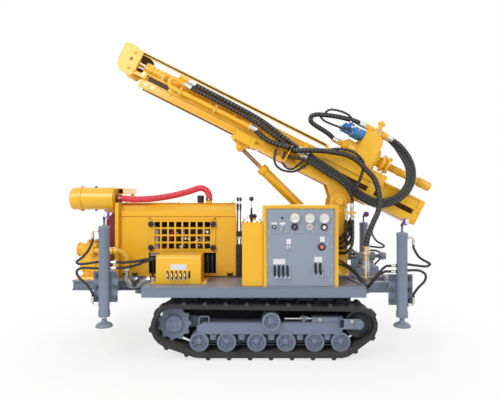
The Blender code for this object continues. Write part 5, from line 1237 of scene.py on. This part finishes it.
class RigLevers(bpy.types.Operator):
    """Jack control box, side tank with its hand lever, and the travel levers"""
    bl_idname = "rig.levers"
    bl_label = "Levers"

    def execute(self, context):
        y = -0.64
        case = [plate([(-0.64, DECK_TOP), (-0.3, DECK_TOP), (-0.3, 1.07), (-0.6, 1.07), (-0.618, 1.066),
                (-0.632, 1.054), (-0.64, 1.036)], "x", (-1.143, -0.663), edge=0.004),
            block((-0.664, -0.6), (-0.63, -0.32), (DECK_TOP, 0.7763)),
            block((-1.206, -1.142), (-0.63, -0.32), (DECK_TOP, 0.7763))]
        seat("jack_control_case", case)
        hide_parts("jack_control_box")

        def at(c, r):
            return seen(c, r, y)[::2]

        (x0, z1), (x1, z0) = at(170.3, 264.3), at(186.4, 270.0)
        seat("jack_label", [block((x0, x1), (y - 0.0016, y), (z0, z1), "white_label", 0.0006)])
        slots, levers, tips = [], [], []
        for k in range(6):
            x, top = at(167.6 + 4.35 * k, 270.8)
            low = at(0, 278.6 if k else 278.2)[1]
            slots.append(slot_plate(x, low, top, y, 0.0105))
            if k < 5:
                levers += [pipe([(x, y - 0.002, top - 0.018), (x, y - 0.026, top - 0.028),
                        (x + 0.002, y - 0.04, top - 0.05), (x + 0.01, y - 0.046, low + 0.012)], 0.005, "zinc"),
                    turned([(0, 0.006), (0.01, 0.0085), (0.03, 0.009), (0.036, 0.006)],
                        (x + 0.006, y - 0.044, low + 0.026), (0.35, -0.1, -1), "black_plastic", 12)]
                tips.append(pipe([(x + 0.004, y - 0.05, low + 0.006), (x + 0.014, y - 0.052, low - 0.006),
                    (x + 0.026, y - 0.05, low + 0.002), (x + 0.029, y - 0.048, low + 0.02)], 0.003, "steel", 2))
        seat("jack_lever_slots", slots)
        seat("jack_levers", levers)
        seat("jack_lever_rings", tips)
        seat("control_feet_bolts", [bolts([(-0.628, -0.6, 0.7763), (-0.628, -0.52, 0.7763),
            (-1.175, -0.6, 0.7763), (-1.175, -0.52, 0.7763)], UP, 1.1)])
        seat("side_tank_case", [block((-0.221, -0.004), (-0.76, -0.32), (DECK_TOP, 1.428), edge=0.004)])
        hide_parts("side_tank")
        hand = [bar((-0.123, -0.55, 1.42), (-0.123, -0.55, 1.655), 0.0062, "zinc"),
            turned([(0, 0.01), (0.006, 0.018), (0.014, 0.0235), (0.024, 0.025), (0.034, 0.0235), (0.042, 0.018),
                (0.047, 0.01)], (-0.123, -0.55, 1.648), UP, "black_plastic"),
            turned([(0, 0.015), (0.04, 0.014), (0.042, 0.011), (0.145, 0.0105)], (-0.123, -0.55, 1.428), UP,
                "dark_metal", 14), bar((-0.17, -0.6, 1.428), (-0.17, -0.6, 1.495), 0.003, "brass", 8)]
        seat("hand_lever", hand)
        seat("tank_bolts", [bolts([(-0.205, -0.745, 1.428), (-0.165, -0.745, 1.428), (-0.115, -0.745, 1.428),
            (-0.065, -0.745, 1.428), (-0.022, -0.745, 1.428), (-0.205, -0.34, 1.428), (-0.022, -0.34, 1.428)],
            UP, 0.85, "rust_bolt")])
        seat("tank_trim", [block((-0.2235, -0.0045), (-0.7625, -0.7565), (1.414, 1.4295))])
        levers = []
        for x in (-0.281, -0.249):
            levers += [bar((x, -0.2, 1.18), (x, -0.2, 1.65), 0.0052, "steel", 14),
                turned([(0, 0.01), (0.004, 0.0125), (0.02, 0.014), (0.036, 0.015), (0.042, 0.012),
                    (0.045, 0.007)], (x, -0.2, 1.639), UP, "black_plastic", 18),
                turned([(0, 0.013), (0.022, 0.013), (0.024, 0.018), (0.05, 0.018)], (x, -0.2, 1.2), UP,
                    "pale_plastic", 14),
                block((x - 0.016, x + 0.016), (-0.235, -0.17), (1.235, 1.29), "dark_metal", 0.004)]
        seat("travel_lever_rods", levers)
        valve = [block((-0.3, -0.232), (-0.262, -0.158), (0.8, 1.14), "dark_metal", 0.005),
            block((-0.292, -0.24), (-0.275, -0.255), (1.0, 1.12), "black_plastic", 0.004)]
        for k in range(4):
            valve.append(turned([(0, 0.016), (0.02, 0.016), (0.022, 0.011), (0.034, 0.011)],
                (-0.266, -0.262, 0.84 + 0.065 * k), NEAR, "dark_metal", 6))
        seat("travel_valve", valve)
        return {"FINISHED"}


def mast_point(c, r, y):
    """Mast-frame place of a point seen in the view at depth y."""
    return tuple(MAST.inverted() @ Vector(seen(c, r, y)))


class RigMast(bpy.types.Operator):
    """Mast, crown, chain, clamps, eye and cylinder details"""
    bl_idname = "rig.mast"
    bl_label = "Mast"

    def rails(self):
        """Lower rails as packed; above them open channels with guide strips on posts, and on each web a dark sheet
        painted as the shade of a window.
        """
        lower = refined("mast_beam")
        pick(lower, lambda f: True)
        turn = MAST.to_3x3()
        bpy.ops.mesh.bisect(plane_co=Vector((SHIFT, 0, 0)) + MAST @ Vector((-0.66, 0, 0)), plane_no=turn
            @ Vector((-1, 0, 0)), use_fill=True, clear_outer=True)
        close()
        bpy.ops.object.shade_smooth_by_angle(angle=radians(34))
        parts = []
        for s in (-1, 1):
            parts += [block((-2.72, -0.655), between(s, 0.095, 0.118), (0.16, 0.338)),
                block((-2.72, -0.655), between(s, 0.095, 0.15), (0.16, 0.172)),
                block((-2.72, -0.655), between(s, 0.095, 0.15), (0.326, 0.338)),
                block((-2.52, -0.66), between(s, 0.117, 0.122), (0.246, 0.25), "seam_brown", 0.0),
                block((-2.52, -0.64), between(s, 0.104, 0.128), (0.436, 0.45), edge=0.003),
                spread(block((-0.012, 0.012), between(s, 0.106, 0.118), (0.336, 0.438)),
                    [(-0.9 - 0.32 * k, 0, 0) for k in range(6)]),
                block((-2.645, -2.375), between(s, 0.1175, 0.1185), (0.262, 0.318), "cavity", 0.0)]
        for u in (0.85, 1.6, 2.3, 2.68):
            parts += [block((-u - 0.04, -u), (-0.1, 0.1), (0.262, 0.3), edge=0.003),
                block((-u - 0.03, -u - 0.01), (-0.04, 0.04), (0.298, 0.345), edge=0.003)]
        seat("mast_upper_rails", parts, "mast", True)

    def crown(self):
        """Two cut plates with a folded edge, the web between them in dark brown as painted shade, the sheave and
        its pin.
        """
        edge = ((126.1, 43.4), (131.2, 42.5), (141.8, 49.5), (133.2, 70.5), (131.8, 74.2), (129.5, 74.8),
            (120.6, 70.4), (118.0, 66.6), (117.2, 62.5), (125.0, 46.0))
        outline = [mast_point(c, r, -0.166)[::2] for c, r in edge]
        parts = [plate(outline, "y", between(s, 0.152, 0.166)) for s in (-1, 1)]
        parts += [block((-3.06, -3.048), (-0.156, 0.156), (0.33, 0.555), edge=0.003),
            block((-2.95, -2.7), (0.1, 0.155), (0.264, 0.3)),
            block((-2.95, -2.7), (-0.155, -0.1), (0.264, 0.3)),
            block((-3.04, -2.88), (-0.156, 0.156), (0.284, 0.3), edge=0.003),
            block((-2.895, -2.88), (-0.156, 0.156), (0.286, 0.47), edge=0.003),
            bar((-2.985, -0.158, 0.475), (-2.985, 0.158, 0.475), 0.022, "zinc", 16),
            turned([(0, 0.052), (0.004, 0.066), (0.018, 0.06), (0.044, 0.06), (0.058, 0.066), (0.062, 0.052)],
                (-2.985, -0.031, 0.475), FAR, sides=28)]
        web = [mast_point(c, r, 0.106)[::2] for c, r in ((134.5, 53.0), (145.0, 53.0), (154.0, 62.5),
            (155.0, 80.0), (146.0, 82.0), (134.5, 75.0))]
        parts.append(plate(web, "y", (0.1, 0.112), "cavity"))
        seat("crown_plates", parts, "mast", True)
        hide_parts("crown")

    def execute(self, context):
        self.rails()
        self.crown()
        for name in ("feed_cylinder", "mast_pipe", "lift_barrel", "lift_rod", "cradle", "turret",
                "slide_cylinder"):
            refined(name)
        # edge flanges and ribs along both rails: X is -u, up the mast
        flanges = []
        for s in (-1, 1):
            flanges += [block((-0.66, 0.915), between(s, 0.112, 0.152), v, edge=0.001)
                for v in ((0.448, 0.452), (0.148, 0.152))]
            for u in (-0.385, -0.105, 0.235, 0.62):
                flanges.append(block((-u - 0.005, -u + 0.005), between(s, 0.14, 0.1525), (0.335, 0.432)))
            flanges.append(plate([(0.84, 0.36), (0.915, 0.36), (0.915, 0.425), (0.9, 0.432)], "y",
                between(s, 0.139, 0.1525)))
        flanges.append(bolts([(-2.33, -0.118, 0.235), (0.89, -0.151, 0.19), (0.89, -0.151, 0.3)], NEAR,
            mat="yellow"))
        seat("mast_flanges", flanges, "mast", True)
        dark = [block(x, y, (0.25, 0.315), "cavity", 0.0) for x in ((-0.12, 0.24), (0.33, 0.84))
            for y in ((-0.086, -0.08), (0.08, 0.086))]
        seat("slot_shadow", dark, "mast", True)
        # crown: recess, bolts, folded edge, brackets and the thin guide rod
        crown = [bolts([mast_point(135, 52, -0.167), mast_point(128.3, 67, -0.167)], NEAR, 1.5, "yellow"),
            bolts([mast_point(135, 52, 0.167)[:1] + (0.166,) + mast_point(135, 52, 0.167)[2:]], FAR, 1.5,
                "yellow")]
        a, b = mast_point(141.0, 51.0, -0.17), mast_point(133.5, 71.0, -0.17)
        crown += [block((min(a[0], b[0]) - 0.004, max(a[0], b[0]) + 0.012), (-0.178, -0.15),
                (min(a[2], b[2]), max(a[2], b[2])), edge=0.003),
            bar((-2.9, -0.15, 0.3), (-2.7, -0.15, 0.3), 0.008, sides=10),
            plate([(-2.74, 0.262), (-2.665, 0.262), (-2.665, 0.33), (-2.685, 0.345), (-2.725, 0.345)], "y",
                (-0.1585, -0.1505)),
            bolts([(-2.64, -0.118, 0.215), (-2.55, -0.118, 0.215), (-2.71, -0.159, 0.305)], NEAR, 1.2)]
        seat("crown_details", crown, "mast", True)
        # a flat dark triangle painted as the shade inside the crown plate's recess
        tri = [mast_point(128.8, 58.5, -0.167), mast_point(133.4, 56.2, -0.167),
            mast_point(132.5, 60.8, -0.167)]
        seat("crown_recess", [plate([(p[0], p[2]) for p in tri], "y", (-0.1662, -0.1672), "seam_brown", 0.0)],
            "mast", True)
        seat("feed_rod_skin", [bar((-2.879, 0, 0.4), (-2.765, 0, 0.4), 0.0345, "steel", 24),
            drum(0.04, 0.034, (-2.879, 0, 0.4), RIGHT)], "mast", True)
        rings = [turned([(0, 0.0625), (0.002, 0.0655), (0.016, 0.0655), (0.018, 0.0625)], (-u, 0, 0.4), RIGHT,
            sides=32) for u in (0.62, 1.22, 2.02, 2.62)]
        rings += [turned([(0, 0.0725), (0.01, 0.0745), (0.06, 0.0745), (0.07, 0.0725)], (-2.755, 0, 0.4), RIGHT,
                sides=32),
            turned([(0, 0.06), (0.012, 0.064), (0.06, 0.064), (0.065, 0.04)], (-0.11, 0, 0.4), RIGHT, sides=28)]
        seat("feed_cylinder_rings", rings, "mast", True)
        # chain: two guide strips and the links between them, drawn at rest
        link = joined([block((-0.017, 0.017), (-0.0115, -0.0085), (-0.007, 0.007), "dark_metal"),
            block((-0.017, 0.017), (0.0085, 0.0115), (-0.007, 0.007), "dark_metal"),
            drum(0.0055, 0.017, (0, -0.0085, 0), FAR, "dark_metal", 8)])
        links = spread(link, [(-0.425 - 0.0254 * k, 0, 0.549) for k in range(101)])
        strips = [block((-2.985, -0.411), (-0.012, 0.012), z, edge=0.001)
            for z in ((0.529, 0.54), (0.558, 0.569))]
        chain = joined([links] + strips)
        chain.name = chain.data.name = "feed_chain_links"
        chain.data.transform(Matrix.Translation((SHIFT, 0, 0)) @ MAST)
        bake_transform(chain)
        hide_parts("feed_chain")
        # pipe clamps with their bolts, hose clamp and the sleeves on the hoses' ends
        clamps = []
        for u in (1.75, 2.2):
            clamps += [plate([(-0.246, 0.27), (-0.152, 0.27), (-0.152, 0.358), (-0.246, 0.358)], "x",
                    (-u - 0.016, -u - 0.004)), drum(0.0285, 0.026, (-u - 0.023, -0.206, 0.31), RIGHT),
                bolts([(-u - 0.018, -0.236, 0.28), (-u - 0.018, -0.236, 0.346)], LEFT, 0.8)]
        clamps.append(bolts([(-0.63, -0.243, 0.266), (-0.63, -0.243, 0.315), (-0.63, -0.243, 0.364)], NEAR,
            0.9))
        seat("pipe_clamps", clamps, "mast", True)
        seat("mast_sleeves", crimp(PAIR_A, 0, 0.025) + crimp(PAIR_B, 0, 0.025) + crimp(AIR_UPPER, 0, 0.03, 0.08)
            + crimp(PAIR_A, -1, 0.025, 0.055) + crimp(PAIR_B, -1, 0.025, 0.055) + crimp(LOOP_A, 0, 0.025, 0.055)
            + crimp(LOOP_B, 0, 0.025, 0.055), "mast")
        # lift eye's saddle and its pins; bolts and sleeves of the hose strap, caps of the tilt's pivot
        eye = []
        for s in (-1, 1):
            eye += [plate([(-1.435, 0.116), (-1.205, 0.116), (-1.215, 0.098), (-1.272, 0.086), (-1.278, 0.03),
                    (-1.362, 0.03), (-1.368, 0.086), (-1.425, 0.098)], "y", between(s, 0.0755, 0.0785),
                    edge=0.001),
                turned([(0, 0.03), (0.01, 0.03), (0.012, 0.024), (0.018, 0.024)], (-1.32, s * 0.079, 0.061),
                    (0, s, 0))]
        eye += [block((-1.47, -1.17), y, (0.108, 0.118)) for y in ((-0.166, -0.064), (0.064, 0.166))]
        seat("eye_saddle", eye, "cradle", True)
        straps = [bolts([(-0.78, -0.2, 0.126), (-0.78, -0.235, 0.126)], DOWN, 0.9),
            drum(0.037, 0.03, (-0.795, -0.274, 0.284), RIGHT, "black_plastic"),
            drum(0.025, 0.03, (-0.795, -0.274, 0.2), RIGHT, "black_plastic"),
            turned([(0, 0.046), (0.016, 0.046), (0.02, 0.03)], (0, -0.205, 0), NEAR, sides=24),
            turned([(0, 0.046), (0.016, 0.046), (0.02, 0.03)], (0, 0.205, 0), FAR, sides=24)]
        seat("cradle_fittings", straps, "cradle", True)
        return {"FINISHED"}


class RigHead(bpy.types.Operator):
    """Rotary head: case ribs, flange bolts, motors, tee and sleeves"""
    bl_idname = "rig.head"
    bl_label = "Rotary head"

    def execute(self, context):
        for name in ("carriage", "head_gearbox", "head_motors", "drill_spindle"):
            refined(name)
        v = HEAD_V
        parts = []
        for s in (-1, 1):
            outline = [(0.175, 0.506), (-0.066, 0.506), (-0.066, v + 0.262), (-0.055, v + 0.262),
                (-0.055, 0.53), (0.14, 0.53), (0.163, 0.56), (0.163, v + 0.1), (0.175, v + 0.1)]
            parts.append(plate(outline, "y", between(s, 0.135, 0.142)))
        parts += [bolts(ring((0.201, 0, v), "x", 0.11, 10), RIGHT, 1.2, "yellow"),
            drum(0.122, 0.012, (-0.078, 0, v), RIGHT, sides=36),
            bolts(ring((-0.079, 0, v), "x", 0.104, 8, 0.5), LEFT, 1.2, "yellow"),
            drum(0.092, 0.014, (-0.2, 0, v), RIGHT, sides=28),
            bolts(ring((-0.2, 0, v), "x", 0.074, 6), LEFT, 1.1, "yellow"),
            turned([(0, 0.04), (0.02, 0.04), (0.022, 0.034)], (-0.262, 0, v), LEFT, sides=8)]
        for k in range(3):
            parts.append(plate([(-0.1, -0.066), (-0.066, -0.066), (-0.066, 0.066), (-0.1, 0.066)], "z",
                (v + 0.086 + 0.002 * k, v + 0.092 + 0.002 * k), edge=0))
        # tee on top: cap, wing bolts and hexagons on its arms
        parts += [turned([(0, 0.04), (0.01, 0.044), (0.024, 0.044), (0.03, 0.03), (0.044, 0.026)],
                (0.065, -0.06, v + 0.392), UP, sides=24),
            block((0.02, 0.11), (-0.075, -0.045), (v + 0.4, v + 0.412), edge=0.003)]
        for y in TEE_Y:
            parts += [turned([(0, 0.036), (0.004, 0.04), (0.03, 0.04), (0.034, 0.036)], (0.12, y, 0.955), RIGHT,
                    sides=8), turned([(0, 0.036), (0.006, 0.038), (0.02, 0.038)], (0.06, y, 0.955), RIGHT)]
        parts.append(bolts([(0.035, -0.101, v + 0.27), (0.095, -0.101, v + 0.27), (0.035, -0.101, v + 0.325),
            (0.095, -0.101, v + 0.325)], NEAR, 1.1))
        seat("head_castings", parts, "head", True)
        motor = []
        for s in (-1, 1):
            y, z = s * 0.073, v + 0.185
            motor += [drum(0.06, 0.012, (-0.08, y, z), RIGHT, "motor_blue", 28),
                turned([(0, 0.0475), (0.01, 0.0475), (0.014, 0.03), (0.03, 0.028)], (-0.318, y, z), LEFT,
                    "motor_blue", 24), bolts(ring((-0.2, y, z), "x", 0.049, 4, 0.5), LEFT, 0.9)]
            for k in range(4):
                motor.append(drum(0.0595, 0.006, (-0.1 - 0.024 * k, y, z), LEFT, "light_blue", 28))
        motor += [block((-0.288, -0.222), (-0.098, -0.046), (v + 0.24, v + 0.256), "light_blue", 0.004),
            bolts([(-0.275, -0.085, v + 0.256), (-0.235, -0.085, v + 0.256), (-0.275, -0.058, v + 0.256),
                (-0.235, -0.058, v + 0.256)], UP, 0.8, "brass")]
        for k, (y, u) in enumerate(((-0.105, 0.15), (-0.105, 0.24), (-0.04, 0.12))):
            motor.append(turned([(0, 0.016), (0.018, 0.016), (0.02, 0.012), (0.032, 0.012)], (-u, y, v + 0.2),
                (0, -1, 0.4), "zinc" if k else "brass", 6))
        seat("motor_details", motor, "head", True)
        seat("head_sleeves", crimp(LOOP_A, -1, 0.025, 0.08) + crimp(LOOP_B, -1, 0.025, 0.08)
            + crimp(HEAD_LOOP, 0, 0.029, 0.075) + crimp(HEAD_LOOP, -1, 0.029, 0.075), "head")
        # carriage: strips on its top and bolts on its sides
        parts = []
        for s in (-1, 1):
            parts += [block((-0.4, 0.38), between(s, 0.15, 0.178), (0.5, 0.512)),
                bolts([(x, s * 0.17, 0.44) for x in (-0.34, -0.2, -0.06, 0.08, 0.22, 0.33)], (0, s, 0), 0.65),
                bolts([(x, s * 0.155, 0.512) for x in (-0.36, -0.24, 0.24, 0.33)], UP, 1.1)]
        parts.append(block((-0.4, 0.3), (-0.15, 0.15), (0.5005, 0.506)))
        seat("carriage_details", parts, "head", True)
        # collars and flange bolts on the spindle
        parts = [bolts(ring((0.296, 0, v), "x", 0.09, 6), RIGHT, 1.3, "yellow"),
            bolts(ring((0.361, 0, v), "x", 0.092, 6), RIGHT, 1.3, "yellow"),
            turned([(0, 0.0455), (0.004, 0.05), (0.03, 0.05), (0.034, 0.0455)], (0.5, 0, v), RIGHT, sides=28),
            turned([(0, 0.054), (0.01, 0.056), (0.14, 0.056), (0.15, 0.052)], (0.775, 0, v), RIGHT, sides=28)]
        seat("spindle_details", parts, "spindle", True)
        return {"FINISHED"}


class RigRear(bpy.types.Operator):
    """Air valve, bulkhead, hose bundle round the turret, breakout cylinder, deck trim and jack supply hoses"""
    bl_idname = "rig.rear"
    bl_label = "Rear fittings"

    def execute(self, context):
        x, y = 1.12, -0.56
        valve = [turned([(0, 0.03), (0.012, 0.034), (0.05, 0.034), (0.054, 0.027), (0.085, 0.027),
                (0.088, 0.031), (0.105, 0.031)], (x, y, 0.7753), UP, "brass", 8),
            turned([(0, 0.028), (0.004, 0.033), (0.02, 0.033), (0.023, 0.029), (0.034, 0.029), (0.037, 0.036),
                (0.075, 0.036), (0.078, 0.031), (0.092, 0.031), (0.095, 0.035), (0.118, 0.035), (0.122, 0.028)],
                (x, y, 0.8803), UP, "zinc", 28),
            turned([(0, 0.026), (0.004, 0.031), (0.04, 0.031), (0.044, 0.024), (0.06, 0.024), (0.062, 0.032),
                (0.102, 0.032)], (x, y, 1.0023), UP, "brass", 8),
            bar((x - 0.03, y - 0.01, 0.93), (x - 0.062, y - 0.03, 0.942), 0.007, "brass", 8)]
        seat("air_valve_body", valve)
        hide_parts("air_valve")
        seat("valve_sleeve", crimp(AIR_LOWER, -1, 0.03, 0.055, "brass"))
        # bulkhead: silver unions over and under its plate
        unions = []
        for bx in (0.962, 1.035):
            unions += [turned([(0, 0.022), (0.003, 0.026), (0.022, 0.026), (0.025, 0.02), (0.036, 0.02),
                    (0.038, 0.024), (0.052, 0.024), (0.055, 0.018)], (bx, -0.255, 1.516), UP, "zinc", 6),
                turned([(0, 0.026), (0.02, 0.026), (0.023, 0.019), (0.04, 0.019), (0.042, 0.023), (0.06, 0.023),
                    (0.064, 0.017)], (bx, -0.255, 1.499), DOWN, "zinc", 6),
                drum(0.019, 0.012, (bx, -0.255, 1.436), DOWN, "zinc", 16)]
        unions.append(plate([(0.925, -0.3), (1.075, -0.3), (1.075, -0.24), (1.03, -0.195), (0.925, -0.195)],
            "z", (1.499, 1.5165)))
        seat("bulkhead_unions", unions)
        seat("tilt_sleeve", crimp(BUNDLE, -1, 0.018, 0.05))
        loop = [(0.962, -0.255, 1.424), (0.96, -0.255, 1.345), (0.963, -0.256, 1.25), (0.978, -0.258, 1.175),
            (1.0, -0.26, 1.152), (1.022, -0.258, 1.175), (1.036, -0.256, 1.25), (1.037, -0.255, 1.345),
            (1.035, -0.255, 1.424)]
        hose("bulkhead_loop", loop, 0.03, count=44)
        for k in range(4):
            route = [(0.902, -0.199, 1.205 - 0.055 * k), (0.902, -0.222, 1.205 - 0.055 * k),
                seen(344.5 + 0.6 * k, 234 + 6.2 * k, -0.232 - 0.01 * k),
                seen(349.5 + 0.8 * k, 226.5 + 6.2 * k, -0.226), seen(353.0, 217.5 + 5.2 * k, -0.2),
                (1.052, -0.165, 1.455 - 0.035 * k), (1.035, -0.12, 1.4 - 0.03 * k),
                (0.994, -0.1, 1.34 - 0.03 * k)]
            hose(f"turret_hose_{k}", route, 0.034, count=44, straight=False)
        # panel to jack: a pair that sags behind the deck's corner
        deck = seen(366.3, 286.3, -0.66)
        pair = [((1.374, -0.8, 0.985), 265.4, 0), ((1.374, -0.8, 0.927), 270.0, 1)]
        for (jx, jy, jz), row, k in pair:
            fit = [turned([(0, 0.016), (0.018, 0.016), (0.02, 0.012), (0.034, 0.012), (0.036, 0.0165),
                    (0.062, 0.0165), (0.066, 0.013)], (jx + 0.004, jy, jz), LEFT, "zinc", 12),
                drum(0.02, 0.016, (jx + 0.004, jy, jz), LEFT, "dark_metal", 6)]
            piece = seat(f"rear_supply_fitting_{k}", fit)
            route = [(0.779, -0.46, 1.01 - 0.045 * k), (0.815, -0.463, 1.006 - 0.045 * k),
                seen(346.5, 264.5 + 2.4 * k, -0.5), seen(355, 271.0 + 2.2 * k, -0.56),
                seen(361.2, 279.2 + 1.4 * k, -0.62), (deck[0], -0.68 - 0.01 * k, deck[2] - 0.012 * k),
                seen(372.5, 280.6 + 1.6 * k, -0.73), seen(378.5, 273.2 + 2.2 * k, -0.77),
                seen(384.5, row + 1.8, -0.795), (jx - 0.1, jy, jz), (jx - 0.062, jy, jz)]
            hose(f"rear_supply_hose_{k}", route, 0.027)
        pair = [((-1.588, -0.8, 1.022), 0), ((-1.588, -0.8, 0.963), 1)]
        for (jx, jy, jz), k in pair:
            fit = [turned([(0, 0.016), (0.018, 0.016), (0.02, 0.012), (0.034, 0.012), (0.036, 0.0165),
                    (0.072, 0.0165), (0.076, 0.013)], (jx - 0.004, jy, jz), RIGHT, "zinc", 12),
                drum(0.02, 0.016, (jx - 0.004, jy, jz), RIGHT, "dark_metal", 6),
                drum(0.011, 0.02, (jx + 0.04, jy, jz), (0, -0.2, 1 - 2 * k), "brass", 8)]
            piece = seat(f"front_supply_fitting_{k}", fit)
            route = [(-1.146, -0.585, 1.035 - 0.012 * k), (-1.175, -0.592, 1.033 - 0.012 * k),
                (-1.25, -0.63, 1.026 - 0.022 * k), (-1.34, -0.7, 1.016 - 0.04 * k),
                (-1.43, -0.77, 1.016 - 0.054 * k), (jx + 0.105, jy, jz), (jx + 0.07, jy, jz)]
            hose(f"front_supply_hose_{k}", route, 0.029, count=50)
        # breakout cylinder and the valve block behind it
        refined("breakout_barrel")
        refined("breakout_rod")
        by, bz = 0.33, 0.93
        parts = [turned([(0, 0.055), (0.03, 0.055), (0.032, 0.05)], (1.42, by, bz), RIGHT, "grey_blue", 24),
            turned([(0, 0.05), (0.012, 0.052), (0.06, 0.052)], (1.1, by, bz), RIGHT, "grey_blue", 24),
            block((1.13, 1.21), (by - 0.075, by - 0.045), (bz - 0.02, bz + 0.075), "dark_metal", 0.005),
            bolts([(1.15, by - 0.076, bz + 0.01), (1.19, by - 0.076, bz + 0.01), (1.15, by - 0.076, bz + 0.055),
                (1.19, by - 0.076, bz + 0.055)], NEAR, 0.9),
            turned([(0, 0.014), (0.04, 0.014), (0.042, 0.01), (0.06, 0.01)], (1.16, by - 0.01, bz + 0.085), UP,
                "zinc", 6),
            turned([(0, 0.014), (0.04, 0.014), (0.042, 0.01), (0.06, 0.01)], (1.33, by - 0.02, bz + 0.045), UP,
                "zinc", 6)]
        seat("breakout_fittings", parts)
        seat("rod_end_trim", [turned([(0, 0.046), (0.004, 0.05), (0.03, 0.05), (0.034, 0.046)], (1.535, by, bz),
                RIGHT, "grey_blue", 24),
            turned([(0, 0.018), (0.006, 0.022), (0.02, 0.022)], (1.555, by - 0.044, bz), NEAR, "grey_blue",
                16)], "breakout_rod")
        # deck: flange lines on the fascia, ledge and a well at the rear corner, its floor a flat plate painted
        # darker as the well's shade
        for name in ("deck_frame", "chassis", "front_subframe", "rear_frame_near", "rear_frame_far"):
            refined(name)
        trim = [block((-1.258, 1.058), (-0.8035, -0.797), (0.7545, 0.7645), "grey_blue"),
            block((-1.258, 1.058), (-0.8035, -0.797), (0.657, 0.664), "grey_blue"),
            block((-1.258, 1.058), (0.797, 0.8035), (0.7545, 0.7645), "grey_blue"),
            block((0.79, 1.045), (-0.345, -0.333), (DECK_TOP, 0.8), "grey_blue", 0.003),
            block((0.79, 0.802), (-0.385, -0.345), (DECK_TOP, 0.8), "grey_blue", 0.003),
            plate([(0.955, -0.36), (0.975, -0.345), (1.052, -0.735), (1.035, -0.74)], "z", (DECK_TOP, 0.785),
                "grey_blue", 0.003), block((0.8, 1.03), (-0.765, -0.75), (DECK_TOP, 0.772), "grey_blue")]
        seat("deck_trim", trim)
        seat("deck_well", [plate([(0.805, -0.745), (1.028, -0.745), (0.962, -0.35), (0.805, -0.35)], "z",
            (DECK_TOP, 0.7658), "well_blue", 0.0)])
        # turret: pins and bolts
        pins = []
        for s in (-1, 1):
            pins += [turned([(0, 0.048), (0.008, 0.048), (0.012, 0.034), (0.022, 0.03)],
                    (LIFT[0], s * 0.197, LIFT[1]), (0, s, 0), sides=24),
                bolts([(0.93, s * 0.197, 1.52), (0.84, s * 0.197, 1.4)], (0, s, 0), 1.3, "yellow")]
        pins += [bolts(ring((0.8, 0, 0.7853), "z", 0.232, 14), UP, 1.4, "yellow"),
            turned([(0, 0.038), (0.02, 0.038), (0.022, 0.022)], (PIVOT[0], -0.222, PIVOT[1]), NEAR)]
        seat("turret_pins", pins)
        # oil tank: breather, cap, sight glass and port
        tank = [turned([(0, 0.047), (0.004, 0.052), (0.03, 0.052), (0.034, 0.046), (0.046, 0.042)],
                (-0.1, 0.58, 1.405), UP, "dark_metal", 24),
            turned([(0, 0.062), (0.006, 0.066), (0.018, 0.066), (0.022, 0.05)], (0.4, 0.58, 1.395), UP, "zinc",
                28), bolts(ring((0.4, 0.58, 1.4135), "z", 0.052, 6), UP, 0.7, "dark_metal"),
            block((-0.18, -0.14), (0.7795, 0.786), (0.92, 1.16), "pale_plastic", 0.003),
            block((-0.19, -0.13), (0.7795, 0.784), (0.9, 1.18), "zinc"),
            turned([(0, 0.024), (0.014, 0.024), (0.018, 0.016), (0.03, 0.016)], (0.5, 0.7795, 0.84), FAR,
                "zinc", 6)]
        seat("oil_tank_fittings", tank)
        refined("oil_tank")
        return {"FINISHED"}


class RigFinishes(bpy.types.Operator):
    """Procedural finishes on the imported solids"""
    bl_idname = "rig.finishes"
    bl_label = "Finishes"

    def execute(self, context):
        slots = {row["node"]: row["material_slot"] for row in frame["record"]["subparts"]}
        for name, obj in frame["nodes"].items():
            mat = look(slots.get(name, "yellow"))
            for slot in obj.material_slots:
                slot.material = mat
            if not obj.material_slots:
                obj.data.materials.append(mat)
        return {"FINISHED"}


class RigPanel(bpy.types.Panel):
    """Steps and sizes of the drilling rig"""
    bl_idname = "VIEW3D_PT_rig"
    bl_label = "Drilling rig"
    bl_space_type = "VIEW_3D"
    bl_region_type = "UI"
    bl_category = "Rig"

    def draw(self, context):
        for step in STEPS:
            self.layout.operator(step.bl_idname)
        for group in (context.scene.rig_sizes, context.scene.rig_colours):
            for prop in group.bl_rna.properties:
                if prop.identifier not in ("rna_type", "name"):
                    self.layout.prop(group, prop.identifier)


STEPS = [RigStage, RigHoses, RigTracks, RigJacks, RigHousing, RigControls, RigLevers, RigMast, RigHead, RigRear,
    RigFinishes]
CLASSES = [RigSizes, RigColours, *STEPS, RigPanel]


def register():
    for cls in CLASSES:
        bpy.utils.register_class(cls)
    bpy.types.Scene.rig_sizes = PointerProperty(type=RigSizes)
    bpy.types.Scene.rig_colours = PointerProperty(type=RigColours)


def unregister():
    del bpy.types.Scene.rig_sizes
    del bpy.types.Scene.rig_colours
    for cls in reversed(CLASSES):
        bpy.utils.unregister_class(cls)


def main():
    register()
    for step in STEPS:
        group, name = step.bl_idname.split(".")
        getattr(getattr(bpy.ops, group), name)()


if __name__ == "__main__":
    main()
